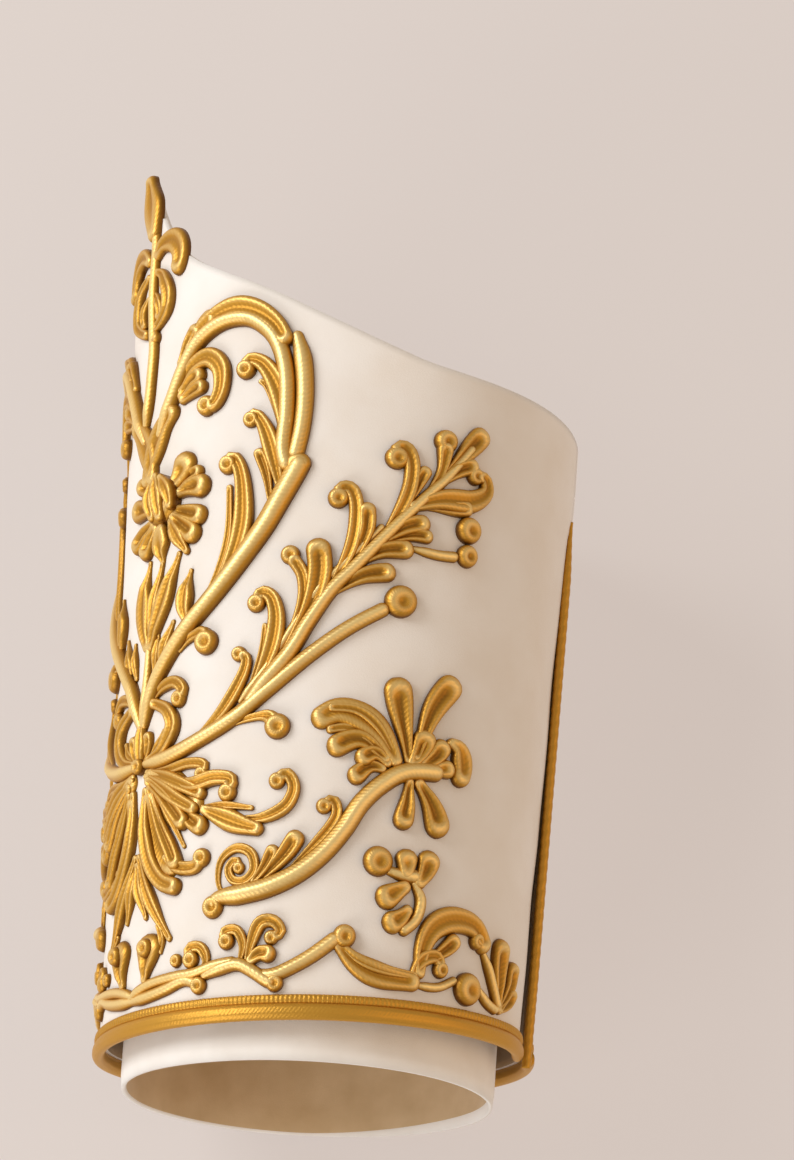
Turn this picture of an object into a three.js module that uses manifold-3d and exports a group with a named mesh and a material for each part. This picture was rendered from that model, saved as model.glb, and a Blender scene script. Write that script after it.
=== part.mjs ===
// An embroidered coat cuff lying on its side: a deep pointed cuff of white cloth round a lining
// tube, with gold cord and braid along the hem, a vent at the back edged with a thin cord, and
// raised gold embroidery that grows from one knot at the front. Millimetres, +Z up. The wrist
// opening faces -Y, the pointed top faces +Y, and the cloth rests on the plane Z = 0.

import * as THREE from "three";
import { mergeVertices } from "three/addons/utils/BufferGeometryUtils.js";
import Module from "manifold-3d";

const wasm = await Module();
wasm.setup();

// Cuff cloth
const HEM_RADIUS = 54;
const FLARE = 0.0291;
const WALL = 1.8;
const GAP = 0.3;
const AXIS_HEIGHT = 55.5;
const PRESS_BLEND = 0.8;
const HEM_LEVEL = 1.2;
const HEM_SLANT = 0.045;
const WALL_COLUMNS = 60;
const WALL_ROWS = 3;

// Lining tube
const LINING_RADIUS = 47;
const LINING_WALL = 1.6;
const LINING_DROP = 11.7;
const LINING_TOP = 155;
const LINING_STRAIGHT = 15;
const LINING_COLUMNS = 30;
const LINING_ROWS = 2;

// Trims: the cord is sewn along the hem edge, the braid lies just above it
const CORD_RADIUS = 1.6;
const CORD_SIDES = 5;
const CORD_DROP = 1.45;
const CORD_PROUD = 0.1;
const BRAID_FOOT = 0.45;
const BRAID_HEIGHT = 2.15;
const BRAID_THICKNESS = 1.2;
const VENT_CORD_RADIUS = 1.25;
const VENT_CORD_SIDES = 6;

// Vent: the near edge is drawn in under the far edge, and both meet at the top of the vent
const VENT_NEAR = 78;
const VENT_FAR = 84;
const VENT_TOP = 143;
const VENT_TUCK = 2.2;
const TUCK_START = 60;

// Embroidery, drawn in a flat pattern: across is measured round the cuff from FRONT_ANGLE,
// along is measured from the hem. The pattern's centre line leans a little.
const FRONT_ANGLE = -59;
const PATTERN_RADIUS = 57;
const CENTRE_AT_HEM = 3.5;
const CENTRE_LEAN = -0.031;
const FINIAL_ASIDE = -3.3;
const PEAK_ASIDE = -6;
const PEAK_LEAN_START = 196;
const PEAK_LEAN_END = 224;
const PEAK_REACH = 30;
const BASE_LIFT = 0.42;
const BASE_STEP = 0.15;
const STEM_HEIGHT = 3.0;
const LEAF_HEIGHT = 2.5;
const END_FALL = 0.7;
const LONGEST_STEP = 12;
const CLEARANCE = 0.35;
const BALL_SIDES = 8;
const BALL_SHOULDER = 0.72;
const BLUNT_TIP = 0.75;
const LEAF_NECK = 0.45;
const LEAF_SWELL = 0.55;

const CLOTH = { color: 0xf3ece4, roughness: 0.85, metalness: 0 };
const LINING_CLOTH = { color: 0xf6f3ee, roughness: 0.8, metalness: 0 };
const GOLD_THREAD = { color: 0xc9922e, roughness: 0.45, metalness: 0.35 };
const GOLD_CORD = { color: 0xb9821f, roughness: 0.5, metalness: 0.3 };

// Top edge of the cloth: away is degrees from the front point, along is the height there
const TOP_EDGE = table(["away", "along"], [
  [0, 225],
  [6, 206],
  [12, 199],
  [24, 191.4],
  [38, 184.4],
  [52, 177.4],
  [66, 171.5],
  [80, 167.5],
  [106, 166],
  [180, 165],
]);

// Each motif is a table of strokes, all ridged along the middle. A stem keeps its width, a leaf
// swells, a club ends in a knob of the tip width, and a ball is a low dome whose root width is
// its diameter and whose tip is its extra height. The path is [across, along].
const STROKE = ["form", "root", "tip", "path"];

const FINIAL_STEM = table(STROKE, [
  ["stem", 4.6, 4, [[-0.8, 161.5], [0.4, 176], [-1.4, 194], [-2.2, 209]]],
  ["leaf", 9, 2.4, [[-1.8, 206], [-4.8, 217], [-6.4, 226.6]]],
]);
const FINIAL_SIDE = table(STROKE, [
  ["club", 4, 5, [[-1, 204], [5, 205.4], [10.4, 202], [9.4, 196.6]]],
  ["leaf", 6.2, 4.4, [[-1.4, 198], [4.4, 195], [5, 188.4], [-0.4, 183.6]]],
]);

const SCROLL = table(STROKE, [
  ["stem", 5.4, 4.6, [[-0.8, 140.5], [3, 150], [9, 156], [16, 157]]],
  ["stem", 5.4, 5, [[3, 154], [8.6, 163], [15, 173.4], [24, 179.4], [34, 176.8], [40.4, 167],
    [42.2, 152], [43, 137]]],
  ["leaf", 5, 3, [[10, 168], [16, 178.6], [22.4, 182]]],
  ["leaf", 5, 3, [[24, 180.6], [31, 182], [40.4, 172.4]]],
  ["stem", 4.4, 4, [[44.8, 172], [46, 158], [45.6, 142]]],
  ["stem", 6.4, 4.4, [[47.4, 141], [42.4, 129.6], [35.4, 117.6], [25.6, 105.6], [11, 91], [1.6, 76]]],
  ["leaf", 5.6, 3.4, [[14, 156.6], [21.4, 156], [24, 162.4], [20.6, 171]]],
  ["leaf", 4.8, 3, [[9.6, 161], [13.4, 163.6], [19, 165.6]]],
  ["club", 4.4, 5, [[42, 144], [40.4, 155], [35.6, 165], [30.6, 164]]],
  ["leaf", 4.8, 3.6, [[42, 134], [38.8, 146], [32.6, 152.4]]],
  ["leaf", 3.2, 2, [[39.6, 131], [34.6, 143.6]]],
  ["leaf", 5.8, 3.8, [[27.4, 109], [32, 121], [32, 134], [26.8, 141]]],
  ["leaf", 3, 2, [[22.4, 104], [28, 119], [27.8, 135]]],
  ["leaf", 5, 1.6, [[18.4, 98.6], [16.6, 106], [17.4, 114]]],
  ["leaf", 3.4, 1.6, [[6.8, 88], [6.6, 98.6]]],
  ["club", 2.6, 7, [[15.4, 93], [20, 94.6], [24.6, 92.6]]],
]);

const FLOWER = table(STROKE, [
  ["ball", 12.4, 1.6, [[6.4, 132.6]]],
  ["leaf", 6.4, 4, [[10, 136.6], [12.6, 144]]],
  ["leaf", 5.4, 4, [[11.4, 135], [18, 140]]],
  ["leaf", 5.6, 4, [[11.4, 131.4], [22, 132.6]]],
  ["leaf", 6.4, 4.4, [[10.6, 128.4], [15, 125], [21, 123.6]]],
  ["leaf", 5.6, 2.4, [[9.4, 126.6], [18, 117]]],
  ["leaf", 6.4, 2, [[6, 127.4], [6.4, 117]]],
  ["leaf", 6.4, 4, [[2, 128.6], [-4, 125], [-10.4, 123]]],
  ["leaf", 6, 4, [[1.6, 132], [-11.6, 135.4]]],
  ["leaf", 4, 2.4, [[5.2, 137.4], [5.4, 143]]],
  ["leaf", 7, 3, [[2.6, 96], [-0.4, 107], [1, 119.4]]],
  ["leaf", 5.6, 3.4, [[3, 96], [8, 107], [13, 118.4]]],
  ["leaf", 4, 2, [[3.8, 100], [6.4, 119]]],
  ["stem", 3.6, 3.4, [[3.2, 99], [1.4, 80]]],
]);

const KNOT = table(STROKE, [
  ["ball", 8.4, 0.6, [[1.4, 66.6]]],
  ["leaf", 6, 3, [[1.4, 68.6], [0.8, 77.6]]],
]);

const SPRAY = table(STROKE, [
  ["stem", 5, 3.6, [[5.2, 65.4], [20, 66.8], [37, 75.6], [54, 90.4], [70.6, 102.2]]],
  ["ball", 8, 0, [[73, 104]]],
  ["stem", 4.2, 2.4, [[40, 80.4], [51, 97], [61.6, 112], [73, 126.2], [83.4, 138.6], [88, 146]]],
  ["club", 3.4, 5, [[5.4, 81.4], [12, 83.6], [17.4, 81], [14.6, 77.6]]],
  ["leaf", 4.8, 3.4, [[4.6, 67], [12.6, 70.4], [12.6, 76.4], [6.4, 81]]],
  ["club", 2.4, 7.4, [[33, 71.6], [39, 72.4], [45.4, 70]]],
  ["club", 3.6, 4.8, [[27.6, 71.6], [33, 79], [35.6, 86], [33, 89.6]]],
  ["club", 4.8, 5.6, [[39, 80.4], [42.4, 90], [42.4, 99], [39.4, 104], [36.6, 101]]],
  ["leaf", 5.4, 3.6, [[47.4, 91.4], [52.6, 103], [53.4, 113], [49.6, 121]]],
  ["club", 3.2, 5, [[48.6, 96], [49.8, 106], [47.6, 112.4], [44.2, 115.4]]],
  ["club", 3.8, 5.6, [[58, 108], [61, 118], [60.6, 128], [57.6, 132.4], [55.4, 128.6]]],
  ["leaf", 4, 3, [[61.4, 112.6], [63.8, 122], [62, 130.6]]],
  ["club", 3.8, 6.2, [[70.4, 123.6], [73.8, 133], [73, 142], [69.6, 142]]],
  ["leaf", 3.4, 2, [[73.4, 128], [78.4, 142]]],
  ["club", 3.6, 6.4, [[79, 134.4], [82.8, 142], [82, 149]]],
  ["leaf", 5.4, 3.4, [[86, 142.4], [93, 153.6]]],
  ["leaf", 5.4, 3.6, [[81, 135.4], [86, 139.4], [93, 141]]],
  ["leaf", 5.2, 3.6, [[77.6, 131], [84, 134.4], [92, 134.6]]],
  ["leaf", 5.2, 3.4, [[68, 119.6], [74, 124.6], [80.6, 126]]],
  ["leaf", 5.4, 3, [[62.4, 113.4], [69, 118.4], [78, 119.6]]],
  ["club", 2.6, 6.2, [[76, 119.6], [83, 119], [91, 118.6]]],
  ["club", 2.6, 7.4, [[85, 119.6], [90.6, 127]]],
  ["leaf", 4.4, 3, [[56.6, 106.4], [64, 110.4], [70.6, 111.6]]],
]);

const ACANTHUS = table(STROKE, [
  ["stem", 3.8, 3.4, [[4.8, 62], [21, 62.6], [25.8, 61], [24.6, 58]]],
  ["leaf", 8.6, 5, [[5.4, 60.6], [14, 57], [26.6, 50]]],
  ["club", 3.6, 4.4, [[18, 58], [29, 57.4], [34, 54.6], [31.4, 52.6]]],
  ["leaf", 5.4, 3.6, [[15, 53.4], [28.2, 45.2]]],
  ["leaf", 5.2, 2.4, [[24, 50.6], [34, 47], [43, 43.6]]],
  ["club", 3.4, 4.8, [[36, 47.4], [43, 47.4], [49.4, 52], [48, 58], [44.4, 55.6]]],
]);

const LOWER_LEAF = table(STROKE, [
  ["leaf", 6, 4, [[5.6, 58.6], [5.8, 48], [11, 37], [20.6, 31]]],
  ["leaf", 4.8, 3.4, [[6.6, 59], [14, 47], [21, 36]]],
  ["club", 4, 5.8, [[16, 36.8], [26, 37.6]]],
]);

const TAIL = table(STROKE, [
  ["leaf", 4, 2, [[2.6, 42], [8.6, 30.4], [17.4, 18.4]]],
  ["leaf", 4, 2, [[2.6, 40], [7.4, 24.4]]],
]);

const TEARDROP = table(STROKE, [
  ["ball", 11.4, 0, [[9.8, 15.8]]],
]);

const GARLAND = table(STROKE, [
  ["stem", 3.8, 3.8, [[3.6, 4.4], [12, 5.4], [22, 8], [28, 8.6], [38, 11], [46.6, 7.4], [56, 12.4], [65, 20]]],
  ["club", 3, 4.4, [[24, 8], [28, 5.4]]],
  ["club", 3, 4.6, [[45.6, 9], [49, 6]]],
  ["club", 4, 8, [[19.8, 12.6], [25.8, 12.4]]],
  ["club", 2.8, 4.8, [[38.6, 11.4], [39.8, 16], [34.4, 17.8]]],
  ["leaf", 4, 3.4, [[41, 11.4], [42.6, 20], [49, 21.4], [48.4, 16.6]]],
  ["leaf", 4.8, 3.6, [[41.4, 11.4], [50, 12.2]]],
  ["leaf", 5.6, 4, [[62, 16], [69, 12.4], [76, 10.2], [86.6, 10.2]]],
  ["club", 2.6, 5, [[84, 10], [92, 11], [91.6, 14.4]]],
  ["leaf", 6.6, 4.6, [[86, 11.4], [88, 20], [96, 25.8], [106, 20]]],
  ["stem", 3, 3, [[103.6, 22.6], [113.4, 8]]],
  ["ball", 8.4, 0, [[101, 10.8]]],
  ["stem", 3, 3, [[103.6, 11.6], [113, 7.8]]],
  ["leaf", 5.8, 4, [[112, 7.6], [112.6, 16], [113.2, 26]]],
  ["leaf", 4, 2.6, [[113.4, 9], [119, 19.6]]],
  ["leaf", 3.4, 2.4, [[112.6, 8], [120.6, 12.4]]],
]);

const FLOWER_BRANCH = table(STROKE, [
  ["leaf", 6, 5, [[28, 25], [34, 27.8]]],
  ["stem", 4.6, 4.8, [[31, 27], [45, 29.8], [52, 33.2], [58, 38.4], [63, 45], [67, 52], [72, 57.4], [78, 61.2],
    [88, 62.6]]],
  ["stem", 2.8, 3, [[32.4, 28.6], [30.8, 33.6], [32.8, 38.4], [37.4, 39.4], [40.4, 36.2], [39, 32.6], [35.4, 33.8],
    [36.4, 36]]],
  ["leaf", 4.4, 3, [[43, 30.6], [51.4, 39], [52.8, 46.4]]],
  ["leaf", 4, 2.4, [[43.4, 31], [47.6, 42]]],
  ["club", 3, 4.8, [[51, 34.4], [57.4, 42.4], [61.4, 49], [57.6, 51.4]]],
  ["leaf", 7, 4.4, [[76, 61.4], [71, 69.4], [63, 73.8], [54.6, 71.6]]],
  ["club", 4.6, 6, [[73.4, 63], [67, 68], [59, 65]]],
  ["leaf", 5, 3.4, [[73, 58.6], [68, 61], [64.6, 58]]],
  ["leaf", 6.6, 4.4, [[79.4, 63], [76.4, 76], [74.4, 84.4]]],
  ["leaf", 5.8, 4, [[80, 63], [88.6, 86.6]]],
  ["ball", 8.4, 1, [[83.6, 66.4]]],
  ["leaf", 6.2, 4.4, [[87, 61.4], [91.6, 65.4], [92.4, 71.4]]],
  ["leaf", 6, 4.4, [[81, 60.4], [88, 47.4]]],
  ["leaf", 4.8, 4, [[78.4, 60.4], [77.2, 48.4]]],
]);

const TREFOIL = table(STROKE, [
  ["club", 3.2, 7.4, [[84, 35], [78, 35.6], [71.4, 38.6]]],
  ["leaf", 5, 4, [[78.6, 34], [80, 43]]],
  ["leaf", 5.4, 4.4, [[82, 33], [86.4, 38.6], [86.6, 43.4]]],
  ["club", 3.4, 5.4, [[80.4, 35], [83.4, 30.4], [81, 25.4], [76.4, 23]]],
  ["leaf", 5.4, 4, [[82, 33.6], [73.6, 29]]],
]);

const radians = THREE.MathUtils.degToRad;

function table(columns, rows) {
  return rows.map((row) => Object.fromEntries(columns.map((name, i) => [name, row[i]])));
}

function clothRadius(along) {
  return HEM_RADIUS + FLARE * along;
}

// Cloth that would reach below its floor is pressed flat, with a short blend
function press(height, floor) {
  const rise = height - floor;
  if (rise <= -PRESS_BLEND) return floor;
  if (rise >= PRESS_BLEND) return height;
  return floor + (rise + PRESS_BLEND) ** 2 / (4 * PRESS_BLEND);
}

function around(angle, along, radius, floor = 0) {
  const height = AXIS_HEIGHT + radius * Math.cos(angle);
  return new THREE.Vector3(radius * Math.sin(angle), along, press(height, floor));
}

// How far the cloth is drawn in near the vent's near edge
function tuck(angle, along) {
  const degrees = THREE.MathUtils.radToDeg(angle);
  const turn = (degrees - TUCK_START) / (VENT_NEAR - TUCK_START);
  if (turn <= 0 || turn > 1.01) return 0;
  return VENT_TUCK * turn ** 1.5 * Math.sqrt(Math.max(0, 1 - along / VENT_TOP));
}

function hemLevel(angle, radius) {
  return HEM_LEVEL + HEM_SLANT * radius * Math.sin(angle);
}

function centreLine(along) {
  return CENTRE_AT_HEM + CENTRE_LEAN * along;
}

function onPattern(across, along, lift) {
  const angle = radians(FRONT_ANGLE) + across / PATTERN_RADIUS;
  return around(angle, along, clothRadius(along) - tuck(angle, along) + lift);
}

function topEdge(away) {
  const next = TOP_EDGE.findIndex((row) => row.away >= away);
  if (next <= 0) return TOP_EDGE[0].along;
  const [low, high] = [TOP_EDGE[next - 1], TOP_EDGE[next]];
  return THREE.MathUtils.mapLinear(away, low.away, high.away, low.along, high.along);
}

// A closed solid from any closed geometry, with its faces turned outwards
function solid(geometry) {
  geometry.deleteAttribute("normal");
  geometry.deleteAttribute("uv");
  const merged = mergeVertices(geometry, 1e-4);
  const points = merged.attributes.position.array;
  const index = Array.from(merged.index.array);
  const faces = [];
  let volume = 0;
  const corner = (i) => new THREE.Vector3().fromArray(points, 3 * i);
  for (let i = 0; i < index.length; i += 3) {
    const [a, b, c] = index.slice(i, i + 3);
    if (a === b || b === c || c === a) continue;
    volume += corner(a).dot(corner(b).cross(corner(c)));
    faces.push(a, b, c);
  }
  if (volume < 0) faces.reverse();
  const mesh = { numProp: 3, vertProperties: new Float32Array(points), triVerts: new Uint32Array(faces) };
  return new wasm.Manifold(new wasm.Mesh(mesh));
}

function reshape(geometry, move) {
  geometry.deleteAttribute("normal");
  geometry.deleteAttribute("uv");
  const merged = mergeVertices(geometry, 1e-4);
  const position = merged.attributes.position;
  for (let i = 0; i < position.count; i++) {
    const moved = move(new THREE.Vector3().fromBufferAttribute(position, i));
    position.setXYZ(i, moved.x, moved.y, moved.z);
  }
  return merged;
}

// A wall of revolution: the lathe turns a unit loop, whose inner side has radius 1 and outer
// side radius 2, and surface(outer, angle, rise) says where each of its points really lies
function wall(columns, rows, surface) {
  const rises = Array.from({ length: rows + 1 }, (_, i) => i / rows);
  const inner = rises.map((rise) => new THREE.Vector2(1, rise));
  const outer = rises.toReversed().map((rise) => new THREE.Vector2(2, rise));
  const lathe = new THREE.LatheGeometry([...inner, ...outer, inner[0]], columns);
  return solid(reshape(lathe, (p) => surface(Math.hypot(p.x, p.z) > 1.5, Math.atan2(p.x, p.z), p.y)));
}

// A ring with a given section, whose points are [out, up] from the cloth's hem line
function hemRing(section) {
  const far = 10;
  const loop = section.map(([out, up]) => new THREE.Vector2(far + out, up));
  const lathe = new THREE.LatheGeometry([...loop, loop[0]], WALL_COLUMNS);
  return solid(reshape(lathe, (p) => {
    const angle = Math.atan2(p.x, p.z);
    const radius = HEM_RADIUS - tuck(angle, 0) + Math.hypot(p.x, p.z) - far;
    return around(angle, hemLevel(angle, radius) + p.y, radius);
  }));
}

function ventCutter(margin) {
  const [inside, outside, foot, narrow] = [40, 65, -20, 0.7];
  return solid(reshape(new THREE.BoxGeometry(1, 1, 1), (p) => {
    const near = p.y > 0 ? VENT_FAR - narrow : VENT_NEAR;
    const angle = radians(p.x < 0 ? near - margin : VENT_FAR + margin);
    const radius = p.z < 0 ? inside : outside;
    return new THREE.Vector3(radius * Math.sin(angle), p.y > 0 ? VENT_TOP : foot,
      AXIS_HEIGHT + radius * Math.cos(angle));
  }));
}

function cuffShell() {
  const pointAngle = Math.round((FRONT_ANGLE - 1) / 6) * 6;
  const shell = wall(WALL_COLUMNS, WALL_ROWS, (outer, angle, rise) => {
    const turned = THREE.MathUtils.radToDeg(angle) - pointAngle;
    const away = Math.abs(turned > 180 ? turned - 360 : turned);
    const foot = hemLevel(angle, HEM_RADIUS) + BRAID_FOOT;
    const along = THREE.MathUtils.lerp(foot, topEdge(away), rise);
    const peak = PEAK_ASIDE * THREE.MathUtils.smoothstep(along, PEAK_LEAN_START, PEAK_LEAN_END);
    const lean = Math.max(0, 1 - away / PEAK_REACH) * (centreLine(along) + 1 + peak) / PATTERN_RADIUS;
    const radius = clothRadius(along) - tuck(angle, along) - (outer ? 0 : WALL);
    return around(angle + lean * rise, along, radius, outer ? 0 : WALL);
  });
  return shell.subtract(ventCutter(0));
}

function sleeveLining() {
  return wall(LINING_COLUMNS, LINING_ROWS, (outer, angle, rise) => {
    const foot = hemLevel(angle, LINING_RADIUS) - LINING_DROP;
    const along = THREE.MathUtils.lerp(foot, LINING_TOP, rise);
    const flare = THREE.MathUtils.smoothstep(along, LINING_STRAIGHT, LINING_TOP);
    const fitted = clothRadius(along) - WALL - GAP;
    const radius = THREE.MathUtils.lerp(LINING_RADIUS, fitted, flare);
    const floor = WALL + GAP + (outer ? 0 : LINING_WALL);
    return around(angle, along, radius - (outer ? 0 : LINING_WALL), floor);
  });
}

function hemCord() {
  const section = Array.from({ length: CORD_SIDES }, (_, i) => {
    const turn = (2 * Math.PI * i) / CORD_SIDES;
    return [CORD_RADIUS * Math.sin(turn) + CORD_PROUD, CORD_RADIUS * Math.cos(turn) - CORD_DROP];
  });
  return hemRing(section).subtract(ventCutter(1));
}

function hemBraid() {
  const [inside, outside] = [GAP, GAP + BRAID_THICKNESS];
  const [foot, head] = [BRAID_FOOT, BRAID_FOOT + BRAID_HEIGHT];
  const section = [[inside, foot], [inside, head], [outside, head - 0.4], [outside, foot]];
  return hemRing(section).subtract(ventCutter(1));
}

function ventCord() {
  const [footTurn, top] = [-2.2, VENT_TOP - 2];
  const along = [footTurn, 3, 20, 55, 90, 120, top];
  const path = new THREE.CatmullRomCurve3(along.map((level) => {
    const angle = radians(VENT_FAR - 1.6);
    const slant = hemLevel(angle, HEM_RADIUS) * Math.max(0, 1 - level / 20);
    const ride = (VENT_CORD_RADIUS + 1.5 * GAP) * THREE.MathUtils.smoothstep(level, 50, 100);
    return around(angle, level + slant, clothRadius(level) + ride);
  }));
  const section = new THREE.Shape();
  section.absarc(0, 0, VENT_CORD_RADIUS, 0, 2 * Math.PI);
  const options = { steps: 9, curveSegments: VENT_CORD_SIDES / 2, bevelEnabled: false, extrudePath: path };
  return solid(new THREE.ExtrudeGeometry(section, options));
}

// Enough steps for the shape, and for the underside to follow the curve of the cuff
function stepsOf(row, length) {
  const spans = row.path.length - (row.form === "club" ? 0 : 1);
  return Math.max(2, spans, Math.ceil(length / LONGEST_STEP));
}

function strokeWidth(row, run, step) {
  if (run > 0.99) return BLUNT_TIP * row.tip;
  if (row.form === "leaf") return row.root * (LEAF_NECK + LEAF_SWELL * Math.sin(Math.PI * (0.1 + 0.75 * run)));
  if (row.form === "club") return run > 1 - 1.2 * step ? row.tip : row.root;
  return THREE.MathUtils.lerp(row.root, row.tip, run);
}

// One stroke of embroidery, ridged along the middle. A grown stroke is the flat-topped block
// that cuts a clearance for it in a neighbour.
function stroke(row, base, grow) {
  const curve = new THREE.SplineCurve(row.path.map(([across, along]) => new THREE.Vector2(across, along)));
  const steps = stepsOf(row, curve.getLength());
  const box = new THREE.BoxGeometry(1, 1, 1, 1, steps, 1);
  return solid(reshape(box, (p) => {
    const run = p.y + 0.5;
    const point = curve.getPointAt(run);
    const heading = curve.getTangentAt(run);
    const atEnd = run < 0.01 || run > 0.99;
    const width = strokeWidth(row, run, 1 / steps) + 2 * grow;
    const crest = (row.form === "leaf" ? LEAF_HEIGHT : STEM_HEIGHT) * (atEnd ? END_FALL : 1) + grow;
    const upper = p.z > 0;
    const aside = upper && grow === 0 ? 0 : p.x * width;
    point.addScaledVector(heading, atEnd ? Math.sign(p.y) * grow : 0);
    return onPattern(point.x - heading.y * aside, point.y + heading.x * aside, upper ? crest : base - grow);
  }));
}

function ball(row, base, grow) {
  const [[across, along]] = row.path;
  const radius = row.root / 2 + grow;
  const crown = STEM_HEIGHT + row.tip + grow;
  return solid(reshape(new THREE.SphereGeometry(1, BALL_SIDES, 3), (p) => {
    const reach = Math.hypot(p.x, p.z);
    const onAxis = reach < 0.01;
    const upper = p.y > 0;
    const spread = onAxis ? 0 : (radius * (upper && grow === 0 ? BALL_SHOULDER : 1)) / reach;
    const height = THREE.MathUtils.lerp(base, crown, onAxis || grow > 0 ? 1 : BALL_SHOULDER);
    return onPattern(across + p.x * spread, along + p.z * spread, upper ? height : base - grow);
  }));
}

function strokes(rows, grow = 0) {
  return rows.map((row, i) => {
    const base = BASE_LIFT + BASE_STEP * (i % 3);
    return row.form === "ball" ? ball(row, base, grow) : stroke(row, base, grow);
  }).reduce((whole, next) => whole.add(next));
}

function mirrored(rows) {
  return rows.map((row) => ({
    ...row,
    path: row.path.map(([across, along]) => [2 * centreLine(along) - across, along]),
  }));
}

// Moves strokes round the cuff by aside millimetres
function shifted(rows, aside) {
  return rows.map((row) => ({
    ...row,
    path: row.path.map(([across, along]) => [across + aside, along]),
  }));
}

const FINIAL = shifted([...FINIAL_STEM, ...FINIAL_SIDE, ...mirrored(FINIAL_SIDE)], FINIAL_ASIDE);

// The motifs in the order in which they are laid: each leaves a clearance round the earlier
// ones that it names
const MOTIFS = [
  { name: "knot", rows: KNOT, clearOf: [] },
  { name: "centre_finial", rows: FINIAL, clearOf: [] },
  { name: "centre_flower", rows: FLOWER, clearOf: ["knot"] },
  { name: "scroll_right", rows: SCROLL, clearOf: ["knot", "centre_finial", "centre_flower"] },
  { name: "scroll_left", rows: mirrored(SCROLL),
    clearOf: ["knot", "centre_finial", "centre_flower", "scroll_right"] },
  { name: "spray_right", rows: SPRAY, clearOf: ["knot", "scroll_right", "centre_flower"] },
  { name: "spray_left", rows: mirrored(SPRAY), clearOf: ["knot", "scroll_left", "centre_flower", "spray_right"] },
  { name: "acanthus_right", rows: ACANTHUS, clearOf: ["knot", "spray_right"] },
  { name: "acanthus_left", rows: mirrored(ACANTHUS), clearOf: ["knot", "spray_left", "acanthus_right"] },
  { name: "lower_leaf_right", rows: LOWER_LEAF, clearOf: ["knot", "acanthus_right"] },
  { name: "lower_leaf_left", rows: mirrored(LOWER_LEAF), clearOf: ["knot", "acanthus_left", "lower_leaf_right"] },
  { name: "tails", rows: [...TAIL, ...mirrored(TAIL)], clearOf: ["lower_leaf_right", "lower_leaf_left"] },
  { name: "teardrop_right", rows: TEARDROP, clearOf: ["tails"] },
  { name: "teardrop_left", rows: mirrored(TEARDROP), clearOf: ["tails", "teardrop_right"] },
  { name: "garland_right", rows: GARLAND, clearOf: ["teardrop_right"] },
  { name: "garland_left", rows: mirrored(GARLAND), clearOf: ["teardrop_left", "garland_right"] },
  { name: "flower_branch_right", rows: FLOWER_BRANCH, clearOf: ["garland_right", "acanthus_right"] },
  { name: "flower_branch_left", rows: mirrored(FLOWER_BRANCH), clearOf: ["garland_left", "acanthus_left"] },
  { name: "trefoil_right", rows: TREFOIL, clearOf: ["garland_right", "flower_branch_right"] },
  { name: "trefoil_left", rows: mirrored(TREFOIL), clearOf: ["garland_left", "flower_branch_left"] },
];

function embroider(motif) {
  const rowsOf = (name) => MOTIFS.find((other) => other.name === name).rows;
  return motif.clearOf.reduce(
    (left, name) => left.subtract(strokes(rowsOf(name), CLEARANCE)),
    strokes(motif.rows),
  );
}

function meshOf(name, body, finish) {
  const { vertProperties, triVerts, numProp } = body.getMesh();
  const points = new Float32Array((vertProperties.length / numProp) * 3);
  for (let i = 0; i < points.length / 3; i++) {
    points.set(vertProperties.subarray(i * numProp, i * numProp + 3), 3 * i);
  }
  const geometry = new THREE.BufferGeometry();
  geometry.setAttribute("position", new THREE.BufferAttribute(points, 3));
  geometry.setIndex(new THREE.BufferAttribute(new Uint32Array(triVerts), 1));
  geometry.computeVertexNormals();
  const mesh = new THREE.Mesh(geometry, new THREE.MeshStandardMaterial(finish));
  mesh.name = name;
  return mesh;
}

const cuff = new THREE.Group();
cuff.add(
  meshOf("cuff_shell", cuffShell(), CLOTH),
  meshOf("sleeve_lining", sleeveLining(), LINING_CLOTH),
  meshOf("hem_cord", hemCord(), GOLD_CORD),
  meshOf("hem_braid", hemBraid(), GOLD_CORD),
  meshOf("vent_cord", ventCord(), GOLD_CORD),
  ...MOTIFS.map((motif) => meshOf(motif.name, embroider(motif), GOLD_THREAD)),
);

// The origin is the middle of the underside
const bounds = new THREE.Box3().setFromObject(cuff);
const middle = bounds.getCenter(new THREE.Vector3());
cuff.position.set(-middle.x, -middle.y, -bounds.min.z);

export default cuff;
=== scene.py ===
"""Visual model of a deep white coat cuff with raised gold embroidery, lying on its side."""

import math
from collections import namedtuple

import bmesh
import bpy
from mathutils import Matrix, Vector, noise


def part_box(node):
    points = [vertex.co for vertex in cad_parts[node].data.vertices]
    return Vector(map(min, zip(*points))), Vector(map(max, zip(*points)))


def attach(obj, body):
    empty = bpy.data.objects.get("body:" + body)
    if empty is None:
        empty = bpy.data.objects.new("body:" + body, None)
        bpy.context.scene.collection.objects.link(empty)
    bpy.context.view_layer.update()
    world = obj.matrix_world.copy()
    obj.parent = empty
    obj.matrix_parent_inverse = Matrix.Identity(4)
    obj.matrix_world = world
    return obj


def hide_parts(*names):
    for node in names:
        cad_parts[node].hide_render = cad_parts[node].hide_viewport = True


bl_info = {
    "name": "Embroidered Cuff",
    "version": (1, 0, 0),
    "blender": (4, 5, 0),
    "location": "3D View > Sidebar > Cuff",
    "description": "Models a pointed wool cuff with gold scrollwork in raised embroidery",
    "category": "Add Mesh",
}

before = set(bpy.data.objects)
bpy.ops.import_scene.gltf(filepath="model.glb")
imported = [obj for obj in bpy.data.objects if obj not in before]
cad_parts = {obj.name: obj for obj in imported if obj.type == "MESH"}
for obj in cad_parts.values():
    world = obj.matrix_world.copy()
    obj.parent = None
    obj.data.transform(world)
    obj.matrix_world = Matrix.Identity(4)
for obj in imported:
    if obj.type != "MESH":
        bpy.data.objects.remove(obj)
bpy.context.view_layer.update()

MM = 0.001

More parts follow.
